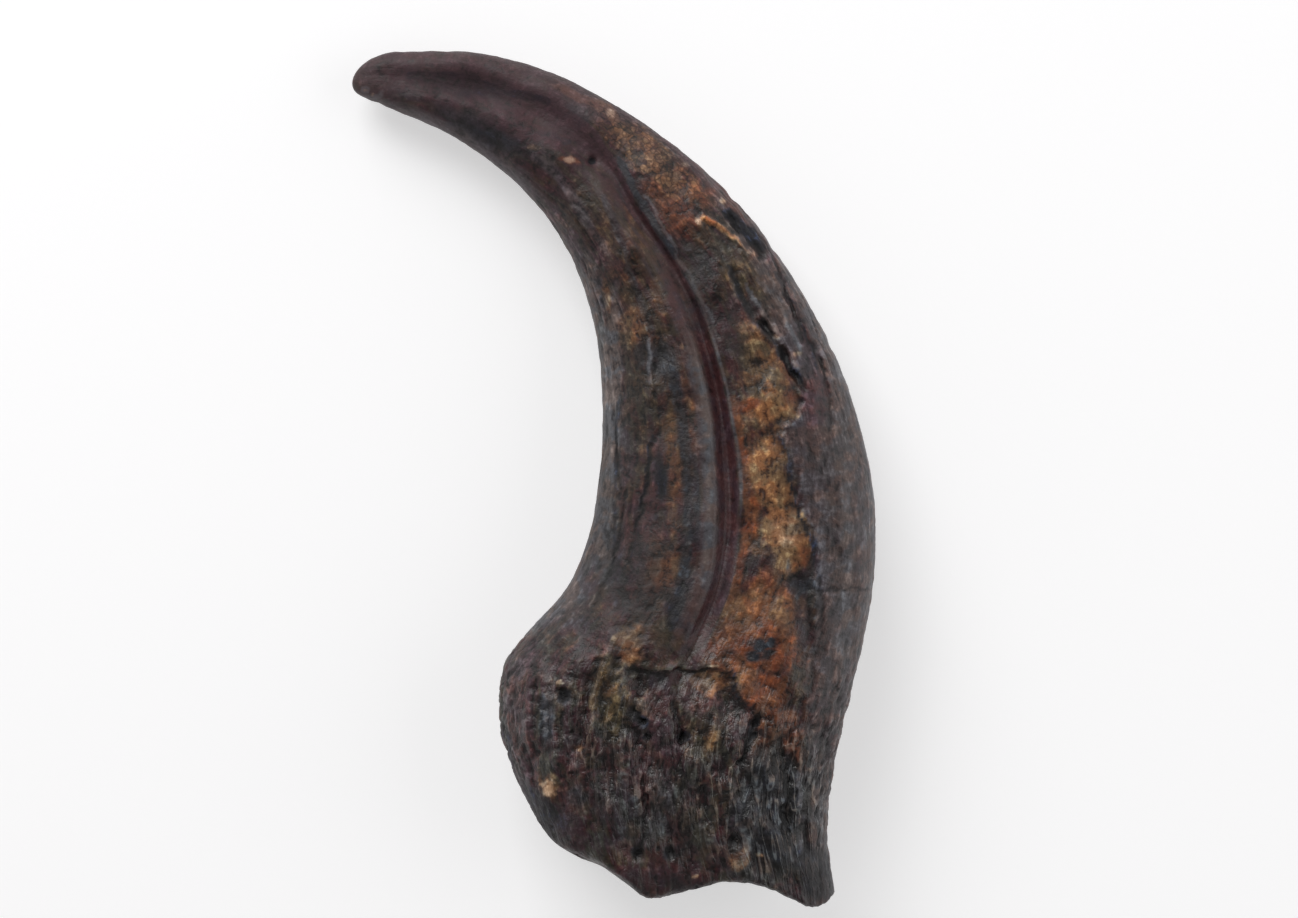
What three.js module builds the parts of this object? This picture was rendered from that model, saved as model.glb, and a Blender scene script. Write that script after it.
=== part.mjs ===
// A fossil oviraptor hand claw: one solid piece of petrified bone, lying on its flank.
// Millimetres, +Z up. The claw is shaped in its own median plane, where +X runs from the inner
// (palmar) edge to the outer (dorsal) edge and +Y from the joint end to the tip, and its two
// flanks stand up and down from that plane. The whole is then leaned into the pose in which it
// rests on a table, set on z = 0 with the middle of its outline over the origin, and worn flat
// where it touches.
import * as THREE from "three";

// Cross-sections from the joint end to the shoulder of the tip. Each gives both edges of the
// outline, the half thickness, where the blood groove lies from palmar (0) to dorsal (1) edge,
// and how deep it is.
const SECTIONS = [
  { palmar: [-11.3, -44.7], dorsal: [29.6, -56.0], half: 10.9, groove: 0.5, depth: 0 },
  { palmar: [-13.8, -39.2], dorsal: [28.6, -47.2], half: 11.5, groove: 0.5, depth: 0 },
  { palmar: [-15.5, -32.0], dorsal: [29.5, -39.2], half: 11.7, groove: 0.5, depth: 0 },
  { palmar: [-14.8, -25.5], dorsal: [31.5, -30.8], half: 11.4, groove: 0.5, depth: 0.2 },
  { palmar: [-10.9, -20.3], dorsal: [33.4, -23.0], half: 10.8, groove: 0.49, depth: 1.1 },
  { palmar: [-6.6, -15.5], dorsal: [34.8, -15.5], half: 10.2, groove: 0.484, depth: 1.7 },
  { palmar: [-3.6, -8.8], dorsal: [35.2, -8.1], half: 9.6, groove: 0.479, depth: 1.9 },
  { palmar: [-2.1, -0.9], dorsal: [34.7, -0.7], half: 9.1, groove: 0.472, depth: 2.0 },
  { palmar: [-1.6, 7.4], dorsal: [32.9, 7.3], half: 8.5, groove: 0.462, depth: 2.0 },
  { palmar: [-1.9, 14.9], dorsal: [30.1, 15.4], half: 7.9, groove: 0.455, depth: 1.9 },
  { palmar: [-2.9, 20.9], dorsal: [26.4, 22.7], half: 7.3, groove: 0.455, depth: 1.8 },
  { palmar: [-4.9, 27.3], dorsal: [21.5, 30.5], half: 6.7, groove: 0.464, depth: 1.7 },
  { palmar: [-7.9, 33.0], dorsal: [15.5, 37.9], half: 6.1, groove: 0.488, depth: 1.4 },
  { palmar: [-11.9, 38.1], dorsal: [8.5, 44.1], half: 5.4, groove: 0.56, depth: 1.0 },
  { palmar: [-17.1, 42.6], dorsal: [0.4, 49.7], half: 4.8, groove: 0.63, depth: 0.8 },
  { palmar: [-22.7, 46.2], dorsal: [-8.6, 54.3], half: 4.1, groove: 0.64, depth: 0.7 },
  { palmar: [-28.1, 48.6], dorsal: [-18.4, 56.9], half: 3.5, groove: 0.6, depth: 0.5 },
  { palmar: [-31.9, 50.1], dorsal: [-29.2, 57.1], half: 2.9, groove: 0.55, depth: 0.1 },
];
const TIP = [-35.3, 53.6];
const SHOULDER = SECTIONS.length - 1;

// The joint end seen from the side, evenly spaced from the palmar to the dorsal edge: the slope
// of the flexor knob, the lower lip of the joint, its hollow and the extensor lip.
const JOINT_RIM = [
  [-11.3, -44.7], [-8.3, -48.5], [-5.1, -50.2], [-1.4, -51.6], [2.0, -54.1], [4.4, -55.9],
  [8.3, -55.4], [12.2, -54.3], [16.0, -53.7], [19.6, -54.3], [23.3, -55.9], [26.7, -57.5],
  [29.6, -56.0],
];
const RIM_REACH = 3; // how many sections the shape of the joint end is felt over
const RIM_ROUNDING = 1.4; // radius between flank and joint face
const SECTION_PITCH = 7.6; // mean distance between sections

// The cupped joint face, with a low keel that parts it into two hollows.
const INWARD = [-0.145, 0.989]; // from the joint face into the claw
const CUP = { from: 0.4, to: 0.97, depth: 3.2, steepness: 0.7, keel: 1.3, keelWidth: 2.2 };
const KNOB_SWELL = 1.0; // how far the flexor knob stands proud of its own rim

// The flank between its edges: full and blunt, more so on the dorsal side and near the joint,
// and sunk a little along its middle, so that a low crown runs on either side of the groove.
const PALMAR_CURVE = { power: 2.6, root: 0.5 };
const DORSAL_CURVE = { power: 3.2, root: 0.46 };
const BLUNTER_AT_BASE = 0.4;
const VALLEY = { depth: 0.07, width: 0.35 };

// The blood groove: a rolled lip on its palmar side, a flat floor and a sharp dorsal bank.
const GROOVE = { lip: -2.9, lipHeight: 0.35, lipWidth: 1.1, floorFrom: -1.3, floorTo: 0.8, bank: 1.7 };

// Relief on the two flanks. Lines are in the median plane, in millimetres. A scarp is a step in
// the surface, low on the right of its line's direction and fading out over its reach. A fissure
// is a sharp furrow and a pit a round hollow.
const UPPER_RELIEF = {
  scarps: [
    {
      line: [[-0.5, -25.2], [5.4, -25.9], [9.0, -24.6], [12.8, -25.4], [15.6, -25.6], [19.0, -27.2]],
      drop: 1.1,
      width: 1.2,
      reach: 6.5,
    },
    {
      line: [
        [18.6, 20.7], [22.6, 15.9], [25.2, 10.8], [22.4, 6.0], [23.8, 0.3], [25.9, -6.9],
        [26.6, -15.5], [25.9, -23.6],
      ],
      drop: 0.6,
      width: 1.3,
      reach: 7,
    },
  ],
  fissures: [
    { line: [[14.9, 35.4], [17.6, 32.3], [20.3, 29.4]], depth: 1.2, halfWidth: 1.4 },
    { line: [[22.4, 16.8], [25.4, 11.7]], depth: 1.1, halfWidth: 1.4 },
    { line: [[15.7, -26.6], [18.3, -31.3], [17.6, -35.2]], depth: 1.3, halfWidth: 1.4 },
    { line: [[5.1, 5.7], [4.2, -1.6], [1.8, -11.5]], depth: 0.6, halfWidth: 1.3 },
  ],
  pits: [
    { at: [-6.7, -28.9], depth: 1.1, radius: 1.5 },
    { at: [2.8, -32.4], depth: 1.2, radius: 1.5 },
    { at: [9.0, -34.4], depth: 1.1, radius: 1.5 },
    { at: [2.9, -49.7], depth: 0.9, radius: 1.4 },
    { at: [7.4, -49.7], depth: 0.9, radius: 1.4 },
    { at: [15.7, -48.2], depth: 0.7, radius: 1.3 },
  ],
  lipShare: 1,
};
const LOWER_RELIEF = {
  scarps: [
    {
      line: [[-1.0, -27.4], [6.2, -25.2], [11.4, -26.6], [17.0, -24.4]],
      drop: 0.7,
      width: 1.2,
      reach: 5,
    },
  ],
  fissures: [
    { line: [[24.6, 20.1], [27.4, 12.4], [28.3, 5.6]], depth: 1.0, halfWidth: 1.4 },
    { line: [[2.6, 12.0], [4.2, 1.8], [3.1, -7.5]], depth: 0.7, halfWidth: 1.3 },
  ],
  pits: [
    { at: [-5.2, -33.6], depth: 1.1, radius: 1.5 },
    { at: [4.6, -37.8], depth: 1.1, radius: 1.5 },
    { at: [13.4, -31.5], depth: 1.0, radius: 1.5 },
    { at: [20.2, -46.0], depth: 0.9, radius: 1.4 },
  ],
  lipShare: 0.3,
};
const SCARP_FADE = 0.12; // share of a scarp's line over which each end dies away

// Low swells left by the grain of the bone, and coarser lumps where ligaments were tied on near
// the joint. Each is a product of two sine waves, given by their change per millimetre along X
// and Y and their phase.
const SWELLS = [
  { height: 0.22, waves: [[0.31, 0, 1.3], [0, 0.23, 0.4]] },
  { height: 0.22, waves: [[0.74, -0.2, 0], [0.35, 0.41, 2.0]] },
];
const BASE_LUMPS = { height: 0.45, waves: [[1.05, 0.25, 0], [-0.3, 0.55, 0.7]] };
const BASE_FADE = { from: 2, to: 5 }; // sections over which the joint end's roughness dies away
const EDGE_CALM = 0.75; // fullness of the flank below which relief dies away
const TIP_CALM = { before: 0.9, past: 0.6 }; // sections each side of the shoulder, likewise

// The pose at rest, found from the three places where the lower flank meets the table.
const LEAN_ABOUT_X = -4.3; // degrees
const LEAN_ABOUT_Y = -0.6; // degrees
const WEAR = 0.35; // height worn off where it touches

// How finely the surface is cut up.
const BASE_SECTIONS = 5;
const RINGS_PER_BASE_SECTION = 5;
const RINGS_PER_SECTION = 4;
const ROUNDING_RINGS = [0, 0.03, 0.09];
const TIP_RINGS = 5;
const FACE_RINGS = 8;
const UPPER_COLUMNS = 34;
const LOWER_COLUMNS = 22;
const GROOVE_COLUMNS = { from: 0.36, to: 0.6 }; // share of a flank's columns that keep to the groove
const GROOVE_SPAN = { width: 3.4, mostOfChord: 0.12 }; // half width of the strip that they cover

const { clamp, lerp, smoothstep, degToRad } = THREE.MathUtils;

// The value at a place along a list of evenly spaced values, on a smooth curve through them all.
function along(values, place) {
  const last = values.length - 1;
  const first = clamp(Math.floor(place), 0, last - 1);
  const t = clamp(place, 0, last) - first;
  const [a, b, c, d] = [-1, 0, 1, 2].map((step) => values[clamp(first + step, 0, last)]);
  const slope = (c - a) / 2;
  const nextSlope = (d - b) / 2;
  const rise = c - b;
  return b + t * (slope + t * (3 * rise - 2 * slope - nextSlope + t * (slope + nextSlope - 2 * rise)));
}

const pointAlong = (points, place) => [0, 1].map((axis) => along(points.map((p) => p[axis]), place));
const rimPoint = (s) => pointAlong(JOINT_RIM, s * (JOINT_RIM.length - 1));

// Everything that the sections say at one place along the claw. Past the shoulder the section
// shrinks as a half ellipsoid does, to a point at the tip.
function sectionAt(place) {
  const palmar = pointAlong(SECTIONS.map((s) => s.palmar), place);
  const dorsal = pointAlong(SECTIONS.map((s) => s.dorsal), place);
  const [half, groove, depth] = ["half", "groove", "depth"].map((key) =>
    along(SECTIONS.map((s) => s[key]), place));
  const past = clamp(place - SHOULDER, 0, 1);
  const shrink = Math.sqrt(1 - past * past);
  const middle = [0, 1].map((axis) => lerp((palmar[axis] + dorsal[axis]) / 2, TIP[axis], past));
  const reach = [0, 1].map((axis) => ((dorsal[axis] - palmar[axis]) / 2) * shrink);
  const inFromRim = clamp(place * SECTION_PITCH, 0, RIM_ROUNDING) / RIM_ROUNDING;
  const rimLoss = RIM_ROUNDING * (1 - Math.sqrt(1 - (1 - inFromRim) ** 2));
  return {
    middle,
    reach,
    half: half * shrink - rimLoss,
    groove,
    depth,
    chord: 2 * Math.hypot(...reach),
    rimPull: Math.max(0, 1 - place / RIM_REACH) ** 2,
  };
}

// A point of the median plane, s of the way from the palmar to the dorsal edge of a section.
function planePoint(section, s) {
  const e = 2 * s - 1;
  const chord = section.middle.map((m, axis) => m + e * section.reach[axis]);
  if (section.rimPull === 0) return chord;
  const [rim, first, last] = [rimPoint(s), JOINT_RIM[0], JOINT_RIM.at(-1)];
  return chord.map((c, axis) => c + section.rimPull * (rim[axis] - lerp(first[axis], last[axis], s)));
}

// The outline of a section: nearly 1 over the crowns of the flank, 0 at both edges.
function fullness(s, nearBase) {
  const e = 2 * s - 1;
  const { power, root } = e < 0 ? PALMAR_CURVE : DORSAL_CURVE;
  const arch = Math.max(0, 1 - Math.abs(e) ** (power + BLUNTER_AT_BASE * nearBase)) ** root;
  return arch * (1 - VALLEY.depth * Math.exp(-((e / VALLEY.width) ** 2)));
}

// Height of the blood groove's relief, from the distance across it, positive to the dorsal side.
function grooveRelief(across, depth, lipShare) {
  const lip = GROOVE.lipHeight * Math.exp(-(((across - GROOVE.lip) / GROOVE.lipWidth) ** 2));
  const intoFloor = smoothstep(across, GROOVE.lip, GROOVE.floorFrom);
  const outOfFloor = 1 - smoothstep(across, GROOVE.floorTo, GROOVE.bank);
  return lipShare * Math.min(1, depth) * lip - depth * intoFloor * outOfFloor;
}

// Distance from a point to a line, whether the point is on its right, and the share of the line
// that has been passed at its nearest point.
function fromLine(point, line) {
  let nearest = { distance: Infinity, onRight: false, share: 0 };
  for (let i = 0; i + 1 < line.length; i++) {
    const [a, b] = [line[i], line[i + 1]];
    const run = [b[0] - a[0], b[1] - a[1]];
    const off = [point[0] - a[0], point[1] - a[1]];
    const t = clamp((off[0] * run[0] + off[1] * run[1]) / (run[0] ** 2 + run[1] ** 2), 0, 1);
    const distance = Math.hypot(off[0] - t * run[0], off[1] - t * run[1]);
    if (distance < nearest.distance) {
      const onRight = run[0] * off[1] < run[1] * off[0];
      nearest = { distance, onRight, share: (i + t) / (line.length - 1) };
    }
  }
  return nearest;
}

// What the scarps, fissures and pits of a flank add to its height at a point.
function markedRelief(point, relief) {
  let height = 0;
  for (const { line, drop, width, reach } of relief.scarps) {
    const { distance, onRight, share } = fromLine(point, line);
    if (!onRight) continue;
    const fade = smoothstep(share, 0, SCARP_FADE) * smoothstep(1 - share, 0, SCARP_FADE);
    height -= drop * fade * smoothstep(distance, 0, width) * (1 - smoothstep(distance, width, reach));
  }
  for (const { line, depth, halfWidth } of relief.fissures) {
    height -= depth * Math.max(0, 1 - fromLine(point, line).distance / halfWidth);
  }
  for (const { at, depth, radius } of relief.pits) {
    const away = Math.hypot(point[0] - at[0], point[1] - at[1]) / radius;
    height -= depth * Math.exp(-(away ** 2));
  }
  return height;
}

const swell = ([x, y], { height, waves }) =>
  waves.reduce((product, [perX, perY, phase]) => product * Math.sin(perX * x + perY * y + phase), height);

// Low swells over the whole flank, and lumps near the joint.
function swells(point, nearBase) {
  const low = SWELLS.reduce((sum, one) => sum + swell(point, one), 0);
  return low + nearBase * swell(point, BASE_LUMPS);
}

// Columns across a flank: the middle ones keep to the groove, and the rest close up towards
// the edges, where the surface turns.
function acrossFlank(share, section) {
  const span = Math.min(GROOVE_SPAN.width / Math.max(section.chord, 1), GROOVE_SPAN.mostOfChord);
  const [low, high] = [section.groove - span, section.groove + span];
  const closeUp = (t) => 1 - Math.cos((Math.PI / 2) * t);
  if (share < GROOVE_COLUMNS.from) return low * closeUp(share / GROOVE_COLUMNS.from);
  if (share > GROOVE_COLUMNS.to) return 1 - (1 - high) * closeUp((1 - share) / (1 - GROOVE_COLUMNS.to));
  return lerp(low, high, (share - GROOVE_COLUMNS.from) / (GROOVE_COLUMNS.to - GROOVE_COLUMNS.from));
}

// One point of a flank: side is 1 on the upper flank and -1 on the lower one.
function flankPoint(place, share, side) {
  const section = sectionAt(place);
  const nearBase = 1 - smoothstep(place, BASE_FADE.from, BASE_FADE.to);
  const s = acrossFlank(share, section);
  const point = planePoint(section, s);
  const full = fullness(s, nearBase);
  const intoTip = smoothstep(place, SHOULDER - TIP_CALM.before, SHOULDER + TIP_CALM.past);
  const hold = smoothstep(full, 0, EDGE_CALM) * (1 - intoTip);
  const relief = side > 0 ? UPPER_RELIEF : LOWER_RELIEF;
  const groove = grooveRelief((s - section.groove) * section.chord, section.depth, relief.lipShare);
  const height = section.half * full + hold * (groove + markedRelief(point, relief) + swells(point, nearBase));
  return [point[0], point[1], side * Math.max(height, 0)];
}

// The joint face's point on the way in (0 at the rim, 1 at the middle) from a point of its rim.
function facePoint(share, side, inset) {
  const s = acrossFlank(share, sectionAt(0));
  const z = flankPoint(0, share, side)[2];
  const sIn = lerp(s, 0.5, inset);
  const zIn = z * (1 - inset);
  const [x, y] = rimPoint(sIn);
  const room = Math.sqrt(1 - (1 - inset) ** 2);
  const inCup = clamp((sIn - CUP.from) / (CUP.to - CUP.from), 0, 1);
  const cup = Math.sin(Math.PI * inCup) ** CUP.steepness;
  const keel = Math.exp(-((zIn / CUP.keelWidth) ** 2));
  const onKnob = Math.sin(Math.PI * clamp(sIn / CUP.from, 0, 1));
  const deep = room * (cup * (CUP.depth - CUP.keel * keel) - KNOB_SWELL * onKnob);
  return [x + INWARD[0] * deep, y + INWARD[1] * deep, zIn];
}

// The ring of column shares right round a section: over the upper flank from the palmar to the
// dorsal edge, and back under the lower one.
function ringColumns() {
  const upper = Array.from({ length: UPPER_COLUMNS }, (_, i) => [i / UPPER_COLUMNS, 1]);
  const lower = Array.from({ length: LOWER_COLUMNS }, (_, i) => [1 - i / LOWER_COLUMNS, -1]);
  return [...upper, ...lower];
}

// Places of the rings along the claw, from the joint rim to just short of the tip.
function ringPlaces() {
  const evenly = (from, to, perSection) =>
    Array.from({ length: (to - from) * perSection }, (_, i) => from + (i + 1) / perSection);
  const cap = Array.from({ length: TIP_RINGS }, (_, i) =>
    SHOULDER + Math.sin((Math.PI / 2) * ((i + 1) / (TIP_RINGS + 1))));
  return [
    ...ROUNDING_RINGS,
    ...evenly(0, BASE_SECTIONS, RINGS_PER_BASE_SECTION),
    ...evenly(BASE_SECTIONS, SHOULDER, RINGS_PER_SECTION),
    ...cap,
  ];
}

// The whole closed surface as one geometry, in the median plane's frame.
function clawGeometry() {
  const columns = ringColumns();
  const rings = [];
  for (let i = FACE_RINGS - 1; i > 0; i--) {
    rings.push(columns.map(([share, side]) => facePoint(share, side, i / FACE_RINGS)));
  }
  for (const place of ringPlaces()) {
    rings.push(columns.map(([share, side]) => flankPoint(place, share, side)));
  }
  const faceMiddle = facePoint(0.5, 1, 1);
  const points = [...rings.flat(), faceMiddle, [...TIP, 0]];
  const [faceIndex, tipIndex] = [points.length - 2, points.length - 1];
  const count = columns.length;
  const lastRing = (rings.length - 1) * count;
  const triangles = [];
  for (let j = 0; j < count; j++) {
    const next = (j + 1) % count;
    triangles.push(faceIndex, next, j);
    for (let i = 0; i + 1 < rings.length; i++) {
      const [a, b, c, d] = [i * count + j, i * count + next, (i + 1) * count + next, (i + 1) * count + j];
      triangles.push(a, b, c, a, c, d);
    }
    triangles.push(lastRing + j, lastRing + next, tipIndex);
  }
  const geometry = new THREE.BufferGeometry();
  geometry.setAttribute("position", new THREE.Float32BufferAttribute(points.flat(), 3));
  geometry.setIndex(triangles);
  return geometry;
}

// Leans the claw into its pose at rest, sets it over the origin and wears its contacts flat.
function layDown(geometry) {
  geometry.rotateX(degToRad(LEAN_ABOUT_X));
  geometry.rotateY(degToRad(LEAN_ABOUT_Y));
  geometry.computeBoundingBox();
  const { min, max } = geometry.boundingBox;
  geometry.translate(-(min.x + max.x) / 2, -(min.y + max.y) / 2, -min.z - WEAR);
  const position = geometry.getAttribute("position");
  for (let i = 0; i < position.count; i++) position.setZ(i, Math.max(0, position.getZ(i)));
  geometry.computeVertexNormals();
  return geometry;
}

const petrifiedBone = new THREE.MeshStandardMaterial({ color: 0x3c2f2c, roughness: 0.5, metalness: 0 });

const claw = new THREE.Mesh(layDown(clawGeometry()), petrifiedBone);
claw.name = "claw";

const group = new THREE.Group();
group.add(claw);

export default group;
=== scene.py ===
"""A fossil oviraptor claw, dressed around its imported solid.

The claw lies on its flank on a pale table, and the camera looks down on it, square to its median
plane. It is shaped in that plane's own frame, in millimetres: +X runs from the inner (palmar) edge
to the outer (dorsal) edge, +Y from the joint end to the tip, and the two flanks stand up and down
from the plane. Only the finished surface is leaned into the pose at rest and turned to metres.
"""

import logging
import math
from dataclasses import dataclass, fields
from enum import Enum, IntEnum
from typing import Any, Union

import bpy
import numpy as np
from mathutils import Matrix, Vector


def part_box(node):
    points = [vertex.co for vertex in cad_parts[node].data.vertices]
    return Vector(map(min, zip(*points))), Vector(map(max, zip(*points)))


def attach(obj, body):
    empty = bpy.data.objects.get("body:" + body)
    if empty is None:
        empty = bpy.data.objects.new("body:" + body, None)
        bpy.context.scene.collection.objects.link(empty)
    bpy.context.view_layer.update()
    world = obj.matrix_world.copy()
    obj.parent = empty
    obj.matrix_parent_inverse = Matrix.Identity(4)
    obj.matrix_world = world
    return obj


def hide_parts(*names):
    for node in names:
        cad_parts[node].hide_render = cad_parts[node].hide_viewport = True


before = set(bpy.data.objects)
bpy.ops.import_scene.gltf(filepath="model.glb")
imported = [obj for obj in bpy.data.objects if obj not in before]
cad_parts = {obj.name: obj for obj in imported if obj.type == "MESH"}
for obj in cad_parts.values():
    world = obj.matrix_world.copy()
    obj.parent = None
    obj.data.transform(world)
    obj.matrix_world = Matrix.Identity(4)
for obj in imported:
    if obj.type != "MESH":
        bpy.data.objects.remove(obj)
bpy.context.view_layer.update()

log = logging.getLogger("claw")

Point = tuple[float, float]
Span = tuple[float, float]
Vector3 = tuple[float, float, float]
Colour = tuple[float, float, float, float]
# A millimetre in metres, and a distance past all that is measured from a cell or the groove.
MM = 0.001
FAR = 9.0


class Flank(Enum):
    """The two broad sides of the claw, by the sign of their height over the median plane."""

    UPPER = 1
    LOWER = -1


class Tint(Enum):
    """What the stone carries in patches; each is an attribute of the mesh.

    Most are stains and wear with tones of their own. The pale grey sheen tint is mostly painted sheen and
    painted highlight, along the edges, on the groove's lip and as glints, with a few pale lines of the
    stone's own. SHADE only darkens the stone: partly its own darker tone, partly painted shade along the
    palmar edge, at the joint's dorsal corner and in the tip's groove.
    """

    OLIVE = "olive"
    OCHRE = "ochre"
    RUST = "rust"
    SLATE = "slate"
    MAUVE = "mauve"
    MAROON = "maroon"
    CHAR = "char"
    PALE = "pale"
    BLOOM = "bloom"
    SHADE = "shade"


class Seed(IntEnum):
    """The noise that each feature draws on, so that no two follow each other."""

    FIBRES = 11
    LEATHER = 17
    PEBBLES = 19
    LUMPS = 23
    SWELLINGS = 27
    CREASES = 29
    RIDGES = 31
    HOLES = 37
    HAIRLINES = 51
    SPLIT = 57
    CELLS = 61
    TERRACES = 71
    SPANS = 77
    RAG_X = 301
    FINE_RAG_X = 305
    RAG_Y = 311
    FINE_RAG_Y = 315
    LOOSE_X = 401
    LOOSE_Y = 411
    GROOVE_EDGE = 421
    STREAKS = 431
    BLOOM = 441


def smooth(value: np.ndarray, low: float, high: float) -> np.ndarray:
    """Rises from 0 at low to 1 at high, level at both ends: 3t^2 - 2t^3."""
    t = np.clip((value - low) / (high - low), 0.0, 1.0)
    return t * t * (3.0 - 2.0 * t)


def along(values: list[float], place: np.ndarray) -> np.ndarray:
    """Reads evenly spaced values on a smooth curve through them all.

    Between two values the curve is a cubic, which passes each of them with the slope of the
    straight line between that value's neighbours.

    Args:
        values: the values at places 0, 1, 2 and so on.
        place: where to read them.

    Returns:
        The curve's value at each place.
    """
    knots = np.asarray(values, float)
    last = len(knots) - 1
    first = np.clip(np.floor(place).astype(int), 0, last - 1)
    t = np.clip(place, 0, last) - first
    a, b, c, d = (knots[np.clip(first + step, 0, last)] for step in (-1, 0, 1, 2))
    slope, next_slope, rise = (c - a) / 2, (d - b) / 2, c - b
    bend = slope + next_slope - 2 * rise
    return b + t * (slope + t * (3 * rise - 2 * slope - next_slope + t * bend))


# What the bits of a point's whole numbers are mixed by.
PRIMES = np.array([73856093, 19349663, 83492791], np.uint64)
SEED_PRIME = 2654435761
MIXERS = ((15, 2246822519), (13, 3266489917))
LAST_SHIFT = 16
LOW_BITS = 0xFFFFFF


def scatter(points: np.ndarray, seed: int) -> np.ndarray:
    """Gives each whole-number point of space its own number from 0 to 1, by mixing its bits.

    Args:
        points: whole numbers, three to a point.
        seed: picks one of many such fields.

    Returns:
        One number for each point, the same in every run.
    """
    whole = points.astype(np.int64).astype(np.uint64)
    mixed = (whole * PRIMES).sum(-1) + np.uint64(seed * SEED_PRIME)
    for shift, factor in MIXERS:
        mixed ^= mixed >> np.uint64(shift)
        mixed *= np.uint64(factor)
    mixed ^= mixed >> np.uint64(LAST_SHIFT)
    return (mixed & np.uint64(LOW_BITS)).astype(float) / LOW_BITS


CORNERS = np.array([(i, j, k) for i in (0, 1) for j in (0, 1) for k in (0, 1)])
NEIGHBOURS = np.array([(i, j, k) for i in (-1, 0, 1) for j in (-1, 0, 1) for k in (-1, 0, 1)])
# How much further on the seeds lie that a noise draws its own parts from.
PUSH_STEP, PLACE_STEP, OWN_STEP = 7, 11, 41
# What brings a ripple to about -1 to 1, and how much finer, fainter and further off each ripple of
# a sum is than the one before.
RIPPLE_GAIN = 1.6
FINER, FAINTER, OCTAVE_SHIFT = 2.03, 0.55, 19.7


def ripple(points: np.ndarray, seed: int) -> np.ndarray:
    """Gradient noise: each lattice corner pushes along its own direction, blended between corners.

    Args:
        points: three coordinates to a point; the lattice is one unit wide.
        seed: picks one of many such fields.

    Returns:
        A number for each point, about -1 to 1, with mean 0.
    """
    low = np.floor(points)
    inside = points - low
    weight = inside**3 * (inside * (inside * 6 - 15) + 10)
    total = np.zeros(points.shape[:-1])
    for corner in CORNERS:
        cell = low + corner
        push = np.stack([scatter(cell, seed + PUSH_STEP * axis) for axis in range(3)], -1) * 2 - 1
        share = np.prod(np.where(corner == 1, weight, 1 - weight), -1)
        total += share * ((inside - corner) * push).sum(-1)
    return total * RIPPLE_GAIN


def fractal(points: np.ndarray, seed: int, octaves: int = 3) -> np.ndarray:
    """Sums ripples, each twice as fine and just over half as high as the one before."""
    total = np.zeros(points.shape[:-1])
    height = 1.0
    for octave in range(octaves):
        total += height * ripple(points * FINER**octave + OCTAVE_SHIFT * octave, seed + octave)
        height *= FAINTER
    return total


def cells(points: np.ndarray, seed: int) -> tuple[np.ndarray, np.ndarray, np.ndarray]:
    """Scatters one seed in each unit cube and measures from every point to its nearest seeds.

    Args:
        points: three coordinates to a point.
        seed: picks one of many such fields.

    Returns:
        The distance to the nearest seed, how much further the next one is, and the nearest seed's
        own number from 0 to 1.
    """
    low = np.floor(points)
    nearest = np.full(points.shape[:-1], FAR)
    second = nearest.copy()
    own = np.zeros_like(nearest)
    for step in NEIGHBOURS:
        cell = low + step
        place = cell + np.stack([scatter(cell, seed + PLACE_STEP * axis) for axis in range(3)], -1)
        away = np.linalg.norm(points - place, axis=-1)
        closer = away < nearest
        second = np.where(closer, nearest, np.minimum(second, away))
        own = np.where(closer, scatter(cell, seed + OWN_STEP), own)
        nearest = np.where(closer, away, nearest)
    return nearest, second - nearest, own


@dataclass(frozen=True)
class Section:
    """A cross-section: both edges of the outline, half thickness, and the groove's place and depth."""

    palmar: Point
    dorsal: Point
    half: float
    groove: float
    depth: float


SECTIONS = (
    Section((-11.3, -44.7), (29.6, -56.0), 10.9, 0.5, 0.0),
    Section((-13.8, -39.2), (28.6, -47.2), 11.5, 0.5, 0.0),
    Section((-15.5, -32.0), (29.5, -39.2), 11.7, 0.5, 0.0),
    Section((-14.8, -25.5), (31.5, -30.8), 11.4, 0.5, 0.2),
    Section((-10.9, -20.3), (33.4, -23.0), 10.8, 0.49, 0.65),
    Section((-6.6, -15.5), (34.8, -15.5), 10.2, 0.484, 1.0),
    Section((-3.6, -8.8), (35.2, -8.1), 9.6, 0.479, 1.2),
    Section((-2.1, -0.9), (34.7, -0.7), 9.1, 0.472, 1.25),
    Section((-1.6, 7.4), (32.9, 7.3), 8.5, 0.462, 1.25),
    Section((-1.9, 14.9), (30.1, 15.4), 7.9, 0.455, 1.2),
    Section((-2.9, 20.9), (26.4, 22.7), 7.3, 0.455, 1.05),
    Section((-4.9, 27.3), (21.5, 30.5), 6.7, 0.445, 1.0),
    Section((-7.9, 33.0), (15.5, 37.9), 6.1, 0.44, 0.9),
    Section((-11.9, 38.1), (8.5, 44.1), 5.4, 0.53, 0.85),
    Section((-17.1, 42.6), (0.4, 49.7), 4.8, 0.63, 0.8),
    Section((-22.7, 46.2), (-8.6, 54.3), 4.1, 0.64, 0.7),
    Section((-28.1, 48.6), (-18.4, 56.9), 3.5, 0.6, 0.5),
    Section((-31.9, 50.1), (-29.2, 57.1), 2.9, 0.55, 0.1),
)
SHOULDER = len(SECTIONS) - 1
TIP: Point = (-35.3, 53.6)
JOINT_RIM: tuple[Point, ...] = (
    (-11.3, -44.7), (-8.3, -48.5), (-5.1, -50.2), (-1.4, -51.6), (2.0, -54.1), (4.4, -55.9),
    (8.3, -55.4), (12.2, -54.3), (16.0, -53.7), (19.6, -54.3), (23.3, -55.9), (26.7, -57.5),
    (29.6, -56.0),
)


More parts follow.
